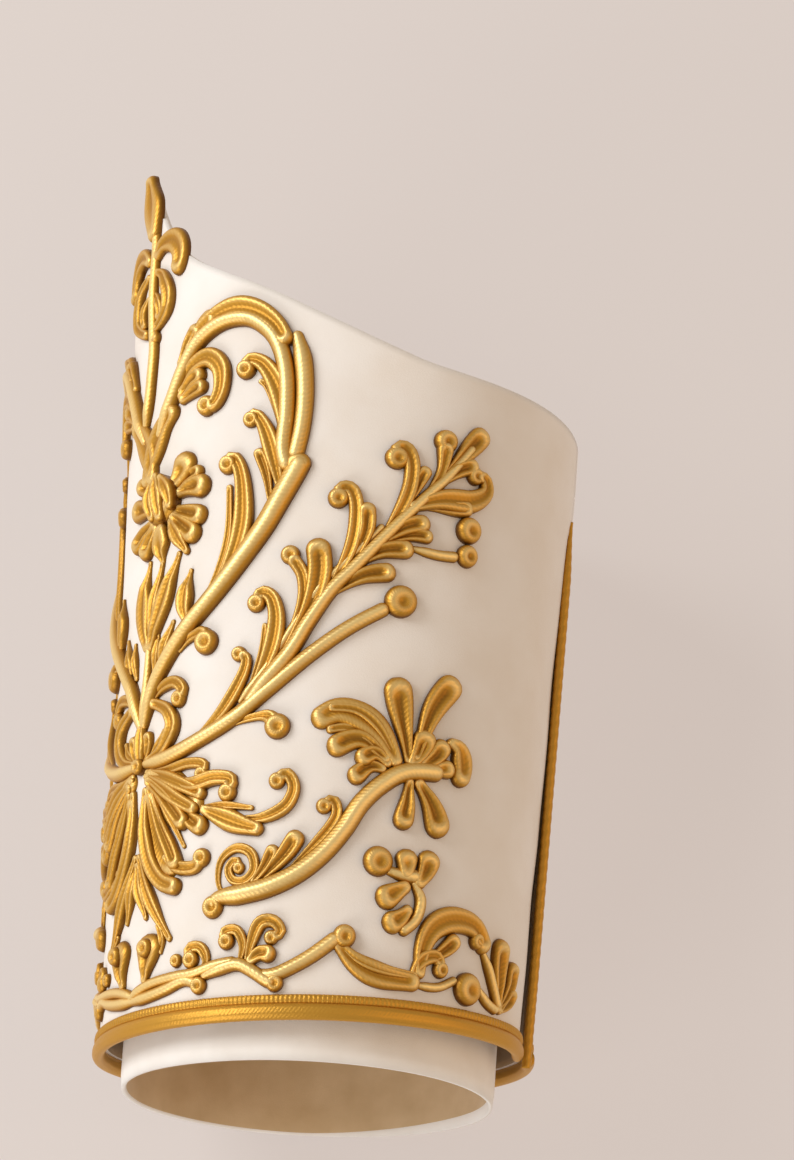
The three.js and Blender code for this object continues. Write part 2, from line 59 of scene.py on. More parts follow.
# Where the cuff's own axis and hem line lie in the frame, in millimetres. The sleeve end's solid
# starts LINING_MOUTH from the hem line.
AXIS_X = 0.81
AXIS_HEIGHT = 55.5
LINING_MOUTH = -12.61
HEM_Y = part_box("sleeve_lining")[0][1] / MM - LINING_MOUTH

# Cuff cloth: a tube that widens by FLARE, is pressed flat where it lies and has a slanted hem
HEM_RADIUS = 54.0
FLARE = 0.0291
PRESS_BLEND = 0.8
HEM_LEVEL = 1.2
HEM_SLANT = 0.045
HEM_LIFT = 3.0
CLOTH_FOOT = 0.45

# Vent, by angles in degrees and heights in millimetres. The near edge is drawn in under the far edge and
# both meet at its top. A narrow strip along the far edge, under the cord, is painted shade in the brown
# backing's colour, for the dark gap beside the cord.
VENT_NEAR = 79.2
VENT_FAR = 84.0
VENT_GAP = 0.7
VENT_TOP = 143.0
VENT_CLOSE = 6
VENT_DROP = 20.0
VENT_TUCK = 2.2
VENT_SHADE_STRIP = 0.6
TUCK_START = 60.0

# The embroidery is drawn in a flat pattern: across is measured round the cuff from FRONT_ANGLE
# and along from the hem, and the centre line leans a little. The cloth's point, within
# PEAK_REACH degrees, bends PEAK_ASIDE further between the heights of PEAK_LEAN.
FRONT_ANGLE = -59.0
PATTERN_RADIUS = 57.0
CENTRE_AT_HEM = 3.5
CENTRE_LEAN = -0.031
PEAK_ASIDE = -6.0
PEAK_LEAN = (196, 224)
PEAK_REACH = 30
FINIAL_ASIDE = -3.3

# Sections of the embroidery: padding and a hook's knob as shares of a stroke's width, and as
# shares of the padding a stem's strand line, a leaf's or petal's hollow and a ball's dimple
CREST_PER_WIDTH = 0.6
KNOB_PER_WIDTH = 1.4
GROOVE_DEPTH = 0.12
HOLLOW_DEPTH = {"leaf": 0.52, "hook": 0.52, "petal": 0.68}
DIMPLE_DEPTH = 0.5

# How far a stroke's edges go below the cloth's face, and how much higher each of LAYERS strokes
# lies than the one before it, in millimetres
BURIED = 0.35
LAYER_STEP = 0.12
LAYERS = 3

# Points nearer than this are welded, in metres
WELD = 2e-6

# With this scale, and UVs in millimetres, the diagonal lines of a wave texture lie 1.4 mm apart
WAVE_SCALE = 0.314

# The cloth's top edge: height above the hem by degrees away from the point
TopPoint = namedtuple("TopPoint", "away along")
TOP_EDGE = [TopPoint(*row) for row in (
    (0, 225), (2.4, 216), (5.4, 207), (12, 199), (24, 191.4), (38, 184.4), (52, 177.4), (66, 171.5),
    (80, 167.5), (106, 166), (180, 165),
)]

# Soft dents and swells of the cloth: where, how far they reach and how deep, in millimetres
Dent = namedtuple("Dent", "across along wide tall depth")
DENTS = [Dent(*row) for row in (
    (62, 158, 16, 12, 1.3), (30, 196, 14, 9, -0.7), (104, 128, 12, 34, 0.9),
    (118, 60, 9, 40, -0.5), (64, 32, 20, 10, -0.5), (-60, 120, 22, 40, 0.9),
)]

# Strokes of embroidery, in millimetres. A stem is a padded round cord. A leaf is hollowed along
# its middle, start wide half way and end wide near its tip. A petal widens from start at its root
# to end at its round, dished tip. A hook is a leaf that curls over into a knob. A ball is start
# across. The path is (across, along), and raised lifts the stroke off the cloth or sinks it.
Stroke = namedtuple("Stroke", "form start end path raised", defaults=(0,))


def strokes(*rows):
    return [Stroke(*row) for row in rows]


FINIAL_STEM = strokes(
    ("stem", 3.8, 3.2, [(-2.4, 154.6), (-0.4, 165), (0.4, 175.5), (-0.6, 183), (-1.4, 194),
                        (-1.6, 203.5), (-2.4, 211)]),
    ("leaf", 9.8, 4, [(-2.4, 207.6), (-3.7, 213), (-4.9, 218.4), (-5.8, 223), (-6.6, 227.6)]),
    ("petal", 2.4, 3.4, [(-2.2, 183.6), (0.6, 180.6), (1.6, 178.2)]),
)
FINIAL_SIDE = strokes(
    ("leaf", 7, 5, [(-1.6, 202), (2.6, 205.2), (7.4, 205), (10.2, 201.8), (10.4, 197.6), (8.6, 195)]),
    ("leaf", 4.8, 2.8, [(-1.2, 199), (3.4, 196.4), (6.2, 191.4), (6.2, 187), (3.6, 184.2), (-0.6, 182)]),
    ("leaf", 3.2, 2.4, [(-1, 193), (1.6, 190), (2.4, 187), (1.2, 184.6)]),
)

SCROLL = strokes(
    ("leaf", 8.4, 5, [(-2.6, 138.6), (-0.6, 146), (3.6, 153.4), (9.4, 158.4)]),
    ("stem", 4.6, 4.4, [(2, 151), (7, 160), (11, 167.4), (15.6, 173.6), (21.6, 177.2), (27.6, 178.2),
                      (33, 176.8), (38.4, 171.6), (41.4, 163), (42.2, 152), (42, 142), (43.6, 136)]),
    ("petal", 3, 4.8, [(9.6, 168), (13.4, 174.6), (16.6, 178.6)]),
    ("petal", 3, 5.2, [(13, 172), (17.4, 178), (21.8, 180.6)]),
    ("leaf", 6.6, 4.6, [(12.6, 171.4), (18, 177.4), (26, 180.6), (32.4, 179.6), (38, 175.6), (41.8, 169.4)],
     0.5),
    ("stem", 5, 4.4, [(43.2, 173.6), (45.4, 166), (46.4, 157), (46.2, 148), (44.8, 138.6)], -0.5),
    ("petal", 3.2, 6.6, [(44.2, 133), (46, 138), (47.2, 141)], 0.3),
    ("stem", 4.2, 6, [(1.6, 74), (6, 84.6), (11, 91), (17.4, 97.6), (24, 104), (31, 112), (37.6, 121),
                      (42.2, 129.6), (45.6, 136.6), (47, 140.6)]),
    ("hook", 5.6, 4, [(9, 161.4), (14, 167), (19.6, 169), (23.6, 165.6), (24.2, 160), (22.4, 156.2),
                      (19.8, 156)]),
    ("petal", 2.8, 4.6, [(9.6, 159.6), (14, 163.8), (18.8, 165.4)]),
    ("petal", 2.8, 4, [(10, 159), (15, 160.8), (19.6, 162)]),
    ("hook", 5.8, 3.8, [(42.4, 141), (42, 150), (39.8, 158.4), (36, 164.6), (32.2, 166.4), (31, 164)]),
    ("leaf", 2, 1.6, [(41, 146), (39.4, 153), (36.6, 159), (34.4, 161)]),
    ("hook", 5, 3.2, [(42, 131), (39.6, 141), (37, 148), (34.2, 151.8), (33, 150.6)]),
    ("petal", 1.8, 3.2, [(39.6, 128), (38, 136), (35.4, 142.6)]),
    ("hook", 5.6, 3.8, [(24, 104), (29.6, 113), (32.2, 122), (32.2, 131), (31, 137.4), (28.8, 140.8),
                        (27.4, 139.2)]),
    ("leaf", 2.4, 1.8, [(20.6, 101.6), (26.2, 112), (28.4, 121), (28, 134)]),
    ("leaf", 5.4, 1.2, [(18, 98), (16.2, 104), (16.6, 109), (17.4, 113.6)]),
    ("leaf", 3.8, 1.4, [(8, 87), (9.4, 94), (12.4, 101)]),
    ("leaf", 3, 1.2, [(5, 88), (6, 93.4), (6.4, 98.6)]),
    ("hook", 2.6, 4.8, [(14.6, 92), (18.6, 95), (22.6, 95.6), (24, 93.2)]),
)

FLOWER = strokes(
    ("petal", 4, 8, [(9, 135), (12.6, 140), (14.8, 145)]),
    ("petal", 2, 3.6, [(10, 136), (16, 138.4), (20, 139)]),
    ("petal", 3, 6.4, [(11, 134), (17, 135), (22.4, 134.4)]),
    ("petal", 3, 5.6, [(9.4, 130.4), (15, 128.6), (21.6, 126.4)]),
    ("petal", 3, 5.8, [(9, 129.4), (14.6, 125), (19.4, 121)]),
    ("leaf", 4.8, 2, [(8.6, 128.4), (12.6, 122.4), (16, 117.6)]),
    ("leaf", 6.6, 1.6, [(6, 128), (5.4, 122), (6.4, 116.4)]),
    ("petal", 3, 5.4, [(3, 129), (-3, 126.4), (-8.4, 123.4)]),
    ("petal", 3, 5.4, [(4, 128), (0.6, 123.6), (-2.6, 119.6)]),
    ("petal", 3, 6.4, [(3, 132), (-4, 133.4), (-10, 134.6)]),
    ("petal", 2.4, 5, [(3, 134), (-2, 138.6), (-7, 140.6)]),
    ("petal", 8, 12.6, [(3.8, 140.4), (5.6, 134.4), (7.4, 127)], 0.6),
    ("leaf", 4.4, 2.6, [(3, 139.8), (2.2, 134), (4, 128)], 2),
    ("leaf", 4.8, 2.8, [(4.4, 141), (6, 134.4), (7.6, 127.2)], 2.2),
    ("leaf", 4.4, 2.6, [(5.8, 140), (9.8, 135), (11, 129.6)], 2),
    ("leaf", 6.8, 1.4, [(2.6, 94), (-1, 106), (0.6, 119)]),
    ("leaf", 6.2, 1.6, [(3, 94), (8.4, 107), (13, 119)]),
    ("leaf", 4, 1.4, [(3.2, 96), (4.2, 107), (6.4, 117.4)]),
    ("stem", 3.4, 2.6, [(1, 74), (2.4, 88), (3, 98)]),
)

KNOT = strokes(
    ("ball", 4.4, 0, [(1.4, 64.6)], 0.8),
    ("leaf", 4.6, 2.4, [(1.4, 63), (1.2, 71), (0.8, 78)]),
    ("petal", 2, 3.4, [(1.2, 65), (-2, 69), (-2.2, 73.4)]),
    ("petal", 2, 3.4, [(1.6, 65), (4.4, 69), (4.2, 73.4)]),
)

SPRAY = strokes(
    ("stem", 4.4, 3.8, [(2.6, 65), (12, 65), (22, 67.8), (33, 73), (42, 80), (52, 88.8), (61, 96.2),
                        (70.6, 102.6)]),
    ("ball", 8.4, 0, [(73.4, 104.2)], 0.4),
    ("stem", 4.6, 2.6, [(36, 76), (46, 88), (51, 97), (56, 105.4), (61.6, 112), (67, 118.8),
                        (73, 126.2), (79, 133.4), (83.4, 138.6), (90, 148)]),
    ("stem", 2.4, 2, [(34, 76.6), (42, 87), (47.4, 96.4), (53, 106), (59.6, 113.6), (68, 123.4)]),
    ("hook", 3.4, 3.4, [(4.6, 80.6), (9, 83.6), (14, 84.4), (17, 82), (15.8, 79.8)]),
    ("leaf", 4.6, 3, [(4, 65.6), (10.4, 67.4), (14.2, 72.6), (12.4, 77), (8.2, 79.4), (5, 80.4)]),
    ("leaf", 2.4, 1.6, [(5, 66.6), (9, 69.6), (11, 73)]),
    ("hook", 2.2, 4.8, [(32, 71), (37, 72.6), (42, 73), (44.8, 70.4)]),
    ("hook", 3.8, 2.9, [(22, 68.4), (30, 75), (34.6, 82.6), (35.8, 87.6), (33.6, 89.2)]),
    ("hook", 5, 3.6, [(36.6, 77), (41.6, 88), (43, 97), (41.6, 103), (38.8, 104.8), (37.4, 102.2)]),
    ("leaf", 2, 1.4, [(36, 78), (39.4, 88), (40, 97)]),
    ("petal", 2.8, 6.4, [(45, 87), (51, 100), (53, 110), (51.8, 118.8)]),
    ("hook", 3.4, 3.6, [(44.6, 88), (49, 100), (49, 108.6), (45.4, 114.4)]),
    ("hook", 3.8, 3.9, [(54.6, 103), (60, 116), (61, 126), (59.6, 131.4), (57.2, 131.8), (56.4, 129.4)]),
    ("petal", 2, 4.4, [(59.6, 110), (63.6, 121), (63.4, 128.8)]),
    ("hook", 4, 4.4, [(67, 118), (72.6, 130), (74, 138), (72.8, 143), (70.6, 143.8), (70, 141.2)]),
    ("petal", 1.6, 3.6, [(72.4, 127), (75.6, 135), (78, 140)]),
    ("hook", 2.6, 4.4, [(77, 131), (81.4, 139), (82.2, 147.6)]),
    ("petal", 2.4, 5.8, [(82, 137.4), (88.4, 146.4), (93.4, 153)]),
    ("petal", 2.4, 4.4, [(80, 135), (86, 140.6), (91.6, 143.4)]),
    ("hook", 6.4, 3.4, [(73.4, 128.4), (82, 132), (90, 133.4), (94.4, 136.6), (94, 140.2), (91, 140.4)]),
    ("petal", 2, 4.4, [(78, 129.6), (85, 130.4), (91, 131.6)]),
    ("petal", 2.4, 4.8, [(66, 118), (73.6, 123.6), (79.6, 125.4)]),
    ("petal", 2, 3.6, [(68, 119), (75, 121.6), (80.6, 121.8)]),
    ("petal", 2.4, 4.8, [(61, 112), (68, 116.6), (76, 118)]),
    ("stem", 2.4, 3, [(75, 118.4), (82, 117.8), (88, 118.4)]),
    ("ball", 7, 0, [(90.2, 125.8)], 0.3),
    ("ball", 6, 0, [(90.4, 119.2)], 0.2),
    ("petal", 2, 5, [(56, 104.6), (64, 109.8), (71.8, 111.6)]),
)

ACANTHUS = strokes(
    ("leaf", 11.5, 6.5, [(3.6, 62.4), (11, 58.4), (19, 53.6), (25.6, 50.4)], -0.9),
    ("leaf", 4.4, 3.6, [(4, 62.8), (11, 60.6), (18, 57.6), (26.4, 53.6)]),
    ("leaf", 4.2, 3.6, [(4, 62), (11, 58), (18, 53.4), (24.6, 49.8)], 0.2),
    ("hook", 3, 3, [(4.6, 62.8), (13, 61.8), (20, 62.6), (25, 61.8), (24.6, 59.4)]),
    ("hook", 4.4, 3.6, [(14, 59.4), (22, 57), (28.6, 58), (33.4, 57.2), (32.6, 54)]),
    ("petal", 3, 4.6, [(5, 60.8), (12, 55.6), (17.6, 50), (21, 46)]),
    ("petal", 2.6, 5.2, [(18, 52), (23, 47.4), (27.4, 45.2)]),
    ("leaf", 5.8, 3.6, [(25, 50.6), (31, 48), (37, 45.6), (43, 44)]),
    ("leaf", 2.2, 1.4, [(25, 51), (32, 50.8), (40, 49.8)]),
    ("hook", 3.6, 3.2, [(34, 47.4), (42, 47.2), (48, 50), (50, 54.8), (48, 58.4), (45.6, 56.6)]),
)

LOWER_LEAF = strokes(
    ("leaf", 11, 7, [(5, 58), (8.6, 48), (13, 40), (18.6, 35)], -1.0),
    ("leaf", 5, 4.6, [(4.6, 59), (5, 49), (8, 40), (13.4, 33.4), (20, 31)]),
    ("petal", 2.4, 4.4, [(6, 59), (10.6, 50), (16, 41.6), (19, 35.6)]),
    ("hook", 3.8, 3.6, [(13, 40), (18.6, 36.4), (24, 35.8), (26.2, 38)]),
    ("leaf", 2.6, 1.2, [(7, 59.6), (14, 51), (20.6, 41)]),
)

TAIL = strokes(
    ("leaf", 4.2, 1.8, [(2.4, 42), (7.4, 32.4), (12, 25), (17.4, 18)]),
    ("leaf", 4, 1.6, [(2.4, 40), (4.8, 31.4), (7.6, 24.4)]),
)

TEARDROP = strokes(
    ("petal", 2.4, 9.8, [(8.2, 8), (9.4, 14), (10, 21)]),
    ("ball", 5, 0, [(9.9, 16.8)], 1.4),
    ("leaf", 2.2, 1.4, [(14, 15), (14.4, 19), (12, 23)]),
)

GARLAND = strokes(
    ("stem", 3.4, 3, [(2, 4.4), (10, 4.8), (17, 6), (23, 7.6), (28, 6)]),
    ("stem", 3, 3, [(1.2, 4.6), (6, 6.6), (12, 8), (20, 8.8), (26, 9.2), (32, 10.8), (38, 11.6)]),
    ("stem", 3.6, 3.4, [(28, 8), (34, 10), (38.4, 10.8), (42.4, 9), (46.4, 6.6), (48.6, 6.4)]),
    ("stem", 3.6, 4, [(42, 9), (47, 8.2), (51, 9.6), (57, 13.2), (64, 18.8)]),
    ("ball", 4.6, 0, [(27.4, 6)]),
    ("ball", 4.6, 0, [(48.2, 6.2)]),
    ("hook", 3, 3.4, [(27, 8.6), (29.2, 12), (27.4, 15.4), (24.2, 15.4), (24.6, 12.6)]),
    ("ball", 3.6, 0, [(19.8, 12.8)]),
    ("hook", 2.8, 3.2, [(38.4, 10.6), (39.4, 15.6), (37.4, 19.2), (34.4, 18.8), (34.8, 16.6)]),
    ("hook", 3.8, 2.8, [(40.4, 10.4), (41.6, 16), (43.6, 20.8), (47, 21.4), (49, 18.8), (46.6, 17.4)]),
    ("petal", 2.6, 4.6, [(40.6, 10.6), (44, 13.4), (48.2, 12.8)]),
    ("ball", 6, 0, [(65, 18.6)]),
    ("leaf", 6.8, 4.8, [(62.6, 17.6), (68, 12.6), (75, 10), (86, 9.4)], -0.3),
    ("leaf", 3, 2.2, [(63.6, 17), (69, 13.2), (76, 11.4), (85, 11)], 0.2),
    ("hook", 4, 3.2, [(83, 10.6), (86, 15.4), (90, 16.6), (91.4, 13.8)]),
    ("stem", 2.4, 2.4, [(84, 9), (91, 9.4), (97, 12.4)]),
    ("leaf", 7, 5.4, [(85.4, 10.4), (85.8, 18), (88.6, 23.8), (94.4, 26.8), (101.6, 26.2), (106.4, 20.6)],
     -0.2),
    ("petal", 2, 4.4, [(86, 14), (92.4, 19), (96, 22.8)]),
    ("ball", 4.4, 0, [(102.4, 23)], 0.4),
    ("stem", 3, 3, [(105, 21.4), (108.6, 16), (113, 8)]),
    ("ball", 8.4, 0, [(100.4, 10.6)], 0.2),
    ("stem", 2.8, 2.8, [(103.4, 12.6), (108, 9), (113, 7.6)]),
    ("petal", 2.8, 6.2, [(112.8, 7), (112, 16), (112.2, 25.8)]),
    ("petal", 2, 4.8, [(113.6, 7.4), (117, 14), (118.2, 21.2)]),
    ("petal", 2, 4, [(113, 7.4), (117.4, 10.4), (119.8, 14.6)]),
)

FLOWER_BRANCH = strokes(
    ("stem", 5.4, 4.8, [(29.6, 25), (31.4, 27.4), (38, 28.2), (45, 29.8), (52, 33.2), (58, 38.4),
                        (63, 45), (67, 52), (72, 57.4), (78, 61.2), (88, 62.6)]),
    ("ball", 6, 0, [(30.2, 25.4)], -0.3),
    ("stem", 2.2, 2, [(40, 29.6), (48, 32), (54.6, 36.4), (60, 42.6), (64.4, 50), (69.6, 57)]),
    ("hook", 2.8, 2.4, [(33, 27.6), (31.2, 32), (32, 37), (36, 39.8), (40, 38.4), (41.2, 34.4),
                        (39, 31.6), (35.6, 31.8), (34.2, 34.6), (36, 36.8), (37, 34.8)]),
    ("petal", 2, 5, [(41, 30), (48, 36.8), (52.4, 44)]),
    ("petal", 1.8, 3.6, [(40.6, 30.4), (44, 35), (46.4, 40.4)]),
    ("hook", 3, 3, [(50, 34), (57.4, 42.4), (61, 48.4), (60, 52.2), (57.8, 50.6)]),
    ("leaf", 7.6, 6, [(76, 62), (71.4, 69.4), (66, 73.6), (59.6, 74.8), (53.4, 71.2)], -0.3),
    ("leaf", 3, 2.4, [(75, 64), (70, 71.4), (64.4, 75.2), (57, 75.4)], 0.3),
    ("leaf", 2.8, 2.4, [(73, 63), (68, 68.4), (62.4, 70.6), (57, 69.8)]),
    ("petal", 2.8, 5.8, [(73.6, 63), (65.6, 68), (57.6, 64.6)]),
    ("petal", 2.4, 4.8, [(74, 62), (69.6, 64.8), (64.8, 62.2)]),
    ("petal", 2.4, 5, [(73, 61), (68.4, 61.4), (63.6, 57.2)]),
    ("petal", 2.6, 7.4, [(78.6, 63), (75.6, 76), (73.7, 85)]),
    ("petal", 2.6, 7, [(79.8, 64), (84, 78), (90, 87.2)]),
    ("petal", 3.4, 6.6, [(78.6, 62), (81.6, 68), (83, 73)]),
    ("petal", 3, 5.4, [(81, 62.6), (85.6, 66.4), (88, 71)]),
    ("leaf", 6, 5.2, [(88.4, 71), (92, 69.4), (93.4, 65), (92.4, 60)]),
    ("petal", 3, 5, [(84, 62.6), (88.4, 63.6), (91, 64.6)], 0.2),
    ("petal", 3, 6.8, [(80.6, 60), (85.6, 53.4), (88.6, 46.2)]),
    ("petal", 2.4, 5.4, [(79, 60), (78.6, 53), (77.6, 46.6)]),
)

TREFOIL = strokes(
    ("ball", 7.8, 0, [(72.2, 38)], 0.2),
    ("stem", 4, 4, [(74, 36.4), (79, 35.4), (84, 35.6)], -0.3),
    ("petal", 3.6, 6.2, [(79.6, 34), (79.6, 38.4), (79.4, 42.2)]),
    ("petal", 3.4, 6.4, [(82.6, 32.6), (85.2, 37.6), (86.4, 42.8)]),
    ("petal", 3.4, 6.6, [(81, 33.4), (76.6, 30.4), (72.6, 27.6)]),
    ("stem", 3.2, 3, [(81.6, 34.4), (84.2, 30), (83.2, 24.8), (79.2, 20.8)]),
    ("petal", 3, 6, [(81.8, 28), (78.6, 24.4), (74.6, 22)]),
)


def centre_line(along):
    return CENTRE_AT_HEM + CENTRE_LEAN * along


def mirrored(rows):
    """The same strokes on the other side of the centre line."""
    return [row._replace(path=[(2 * centre_line(along) - across, along) for across, along in row.path])
            for row in rows]


def shifted(rows, aside):
    """The same strokes moved round the cuff."""
    return [row._replace(path=[(across + aside, along) for across, along in row.path]) for row in rows]


def both_sides(name, rows):
    return {name + "_right": rows, name + "_left": mirrored(rows)}


MOTIFS = {
    "knot": KNOT,
    "centre_finial": shifted(FINIAL_STEM + FINIAL_SIDE + mirrored(FINIAL_SIDE), FINIAL_ASIDE),
    "centre_flower": FLOWER,
    **both_sides("scroll", SCROLL),
    **both_sides("spray", SPRAY),
    **both_sides("acanthus", ACANTHUS),
    **both_sides("lower_leaf", LOWER_LEAF),
    "tails": TAIL + mirrored(TAIL),
    **both_sides("teardrop", TEARDROP),
    **both_sides("garland", GARLAND),
    **both_sides("flower_branch", FLOWER_BRANCH),
    **both_sides("trefoil", TREFOIL),
}


# The surface of the cuff

def mix(low, high, share):
    return low + (high - low) * share


def ease(low, high, value):
    """0 below low, 1 above high, with a smooth step between."""
    share = min(1.0, max(0.0, (value - low) / (high - low)))
    return share * share * (3 - 2 * share)


def press(height, floor):
    """Cloth that would reach below its floor is pressed flat, with a short blend."""
    rise = height - floor
    if rise <= -PRESS_BLEND:
        return floor
    if rise >= PRESS_BLEND:
        return height
    return floor + (rise + PRESS_BLEND) ** 2 / (4 * PRESS_BLEND)


def around(angle, along, radius, floor=0.0):
    """A point in metres from an angle in degrees, and sizes in millimetres."""
    turn = math.radians(angle)
    height = AXIS_HEIGHT + radius * math.cos(turn)
    return Vector((AXIS_X + radius * math.sin(turn), HEM_Y + along, press(height, floor))) * MM


def wrapped(angle):
    return (angle + 180) % 360 - 180


def tuck(angle, along):
    """How far the cloth is drawn in near the vent's near edge."""
    stop, power = VENT_FAR - 0.3, 1.5
    turn = (wrapped(angle) - TUCK_START) / (VENT_NEAR - TUCK_START)
    if turn <= 0 or wrapped(angle) > stop:
        return 0.0
    return VENT_TUCK * min(1.0, turn) ** power * math.sqrt(max(0.0, 1 - along / VENT_TOP))


def dents(angle, along):
    """How far the cloth dips at a place, from its dents and from ripples above the hem."""
    depth, ripple_depth, scale, ripple_length, fade = 0.0, 0.35, 2.4, 40, (4, 40)
    across = math.radians(wrapped(angle - FRONT_ANGLE)) * PATTERN_RADIUS
    for dent in DENTS:
        far = ((across - dent.across) / dent.wide) ** 2 + ((along - dent.along) / dent.tall) ** 2
        depth += dent.depth * math.exp(-far)
    turn = math.radians(angle)
    place = Vector((math.sin(turn), math.cos(turn), along / ripple_length))
    return depth + ripple_depth * noise.noise(place * scale) * ease(*fade, along)


def cloth_radius(angle, along):
    return HEM_RADIUS + FLARE * along - tuck(angle, along) - dents(angle, along)


def hem_level(angle, radius=HEM_RADIUS):
    return HEM_LEVEL + HEM_SLANT * radius * math.sin(math.radians(angle))


def hem_edge(angle, radius=HEM_RADIUS):
    """Level of the cuff's own hem, which sits a little higher on its underside."""
    return hem_level(angle, radius) + HEM_LIFT * max(0.0, -math.cos(math.radians(angle)))


def on_pattern(across, along, lift):
    """A point of the flat pattern laid on the cuff, lifted off the cloth."""
    angle = FRONT_ANGLE + math.degrees(across / PATTERN_RADIUS)
    return around(angle, along, cloth_radius(angle, along) + lift)


def top_edge(away):
    """Height of the cloth's top edge, on a smooth curve that runs on level beyond the back."""
    back, beyond = 179.999, 260
    away = min(abs(away), back)
    heights = [TOP_EDGE[1].along, *(row.along for row in TOP_EDGE), TOP_EDGE[-1].along]
    turns = [-TOP_EDGE[1].away, *(row.away for row in TOP_EDGE), beyond]
    spot = max(i for i, row in enumerate(TOP_EDGE) if row.away <= away) + 1
    span = turns[spot + 1] - turns[spot]
    share = (away - turns[spot]) / span
    slope_in = (heights[spot + 1] - heights[spot - 1]) / (turns[spot + 1] - turns[spot - 1])
    slope_out = (heights[spot + 2] - heights[spot]) / (turns[spot + 2] - turns[spot])
    if spot == 1:
        slope_in = (heights[2] - heights[1]) / span
    square, cube = share * share, share ** 3
    rise = (3 * square - 2 * cube) * (heights[spot + 1] - heights[spot])
    bend = (cube - 2 * square + share) * slope_in + (cube - square) * slope_out
    return heights[spot] + rise + span * bend


def vent_near(along):
    """Angle of the vent's near edge, which closes on the far edge at the top of the vent."""
    share = (along + VENT_DROP) / (VENT_TOP + VENT_DROP)
    edge = mix(VENT_NEAR, VENT_FAR - VENT_GAP, min(1.0, share))
    return mix(edge, VENT_FAR, ease(VENT_TOP - VENT_CLOSE, VENT_TOP, along))


# Meshes

def shape_grid(mesh, columns, rows, place, sizes, height=None):
    """Adds a flat grid and moves each point to place(column, row). sizes is its UV size in mm, and
    height(column, row), from 0 to 1, is kept on each point, where the gold's material turns it into painted
    shade and painted highlight."""
    layer = mesh.loops.layers.uv.verify()
    rise = mesh.verts.layers.float.get("rise") or mesh.verts.layers.float.new("rise")
    made = bmesh.ops.create_grid(mesh, x_segments=columns, y_segments=rows, size=0.5, calc_uvs=True)
    verts = made["verts"]
    for face in {face for vert in verts for face in vert.link_faces}:
        face.smooth = True
        for loop in face.loops:
            loop[layer].uv *= Vector(sizes)
    for vert in verts:
        column = round((vert.co.x + 0.5) * columns)
        row = round((vert.co.y + 0.5) * rows)
        vert[rise] = height(column, row) if height else 1.0
        vert.co = place(column, row)
    return verts


def close_up(mesh, verts):
    """Welds a grid's meeting edges, fills its open ends and turns its faces outwards."""
    bmesh.ops.remove_doubles(mesh, verts=verts, dist=WELD)
    verts = [vert for vert in verts if vert.is_valid]
    open_edges = list({edge for vert in verts for edge in vert.link_edges if edge.is_boundary})
    if open_edges:
        bmesh.ops.holes_fill(mesh, edges=open_edges, sides=0)
    faces = list({face for vert in verts for face in vert.link_faces})
    bmesh.ops.recalc_face_normals(mesh, faces=faces)


def add_object(name, data):
    made = bpy.data.objects.new(name, data)
    bpy.context.scene.collection.objects.link(made)
    return made


def mesh_object(name, mesh, materials):
    data = bpy.data.meshes.new(name)
    mesh.to_mesh(data)
    mesh.free()
    for material in materials:
        data.materials.append(material)
    return add_object(name, data)


def piece(name, mesh, materials, nodes):
    """A finished object that rides on the frame and stands for the named solids."""
    made = mesh_object(name, mesh, materials)
    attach(made, "root")
    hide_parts(*nodes)
    return made


def smooth_path(points, per_span=12):
    """Close samples on a smooth curve through the points."""
    knots = [Vector(point) for point in points]
    knots = [2 * knots[0] - knots[1], *knots, 2 * knots[-1] - knots[-2]]
    samples = []
    for a, b, c, d in zip(knots, knots[1:], knots[2:], knots[3:]):
        for i in range(per_span):
            t = i / per_span
            samples.append(0.5 * (2 * b + (c - a) * t + (2 * a - 5 * b + 4 * c - d) * t * t
                                  + (3 * b - a - 3 * c + d) * t ** 3))
    samples.append(knots[-2])
    return samples


class Route:
    """A path that can be asked for its point and heading at any distance."""

    def __init__(self, points):
        self.samples = smooth_path(points)
        self.reach = [0.0]
        for a, b in zip(self.samples, self.samples[1:]):
            self.reach.append(self.reach[-1] + (b - a).length)
        self.length = self.reach[-1]

    def at(self, distance):
        distance = min(max(distance, 0.0), self.length)
        spot = 0
        while spot < len(self.reach) - 2 and self.reach[spot + 1] < distance:
            spot += 1
        span = max(1e-6, self.reach[spot + 1] - self.reach[spot])
        share = (distance - self.reach[spot]) / span
        return self.samples[spot].lerp(self.samples[spot + 1], share)

    def heading(self, distance):
        step = 0.4
        way = self.at(distance + step) - self.at(distance - step)
        return way.normalized()


def stations(length, first_cap, last_cap, spacing):
    """Distances along a stroke, close together where its ends are rounded."""
    degrees = (0, 22, 42, 60, 76, 90)
    turns = [1 - math.cos(math.radians(turn)) for turn in degrees]
    middle = max(1, round((length - first_cap - last_cap) / spacing))
    straight = [mix(first_cap, length - last_cap, i / middle) for i in range(1, middle)]
    return ([first_cap * turn for turn in turns] + straight
            + [length - last_cap * turn for turn in reversed(turns)])


def stroke_width(row, share, length):
    """Width of a stroke at a share of its length. A stem narrows a little at its root, over a
    distance in stroke widths."""
    stem_root, root_length, leaf_root, half_way = 0.6, 1.8, 0.45, 0.5
    if row.form == "stem":
        width = mix(row.start, row.end, share)
        return width * mix(stem_root, 1.0, ease(0.0, root_length, share * length / width))
    if row.form == "petal":
        return mix(row.start, row.end, ease(0.05, 0.8, share))
    if share < half_way:
        return row.start * mix(leaf_root, 1.0, ease(0.0, half_way, share))
    return mix(row.start, row.end, ease(half_way, 0.95, share))


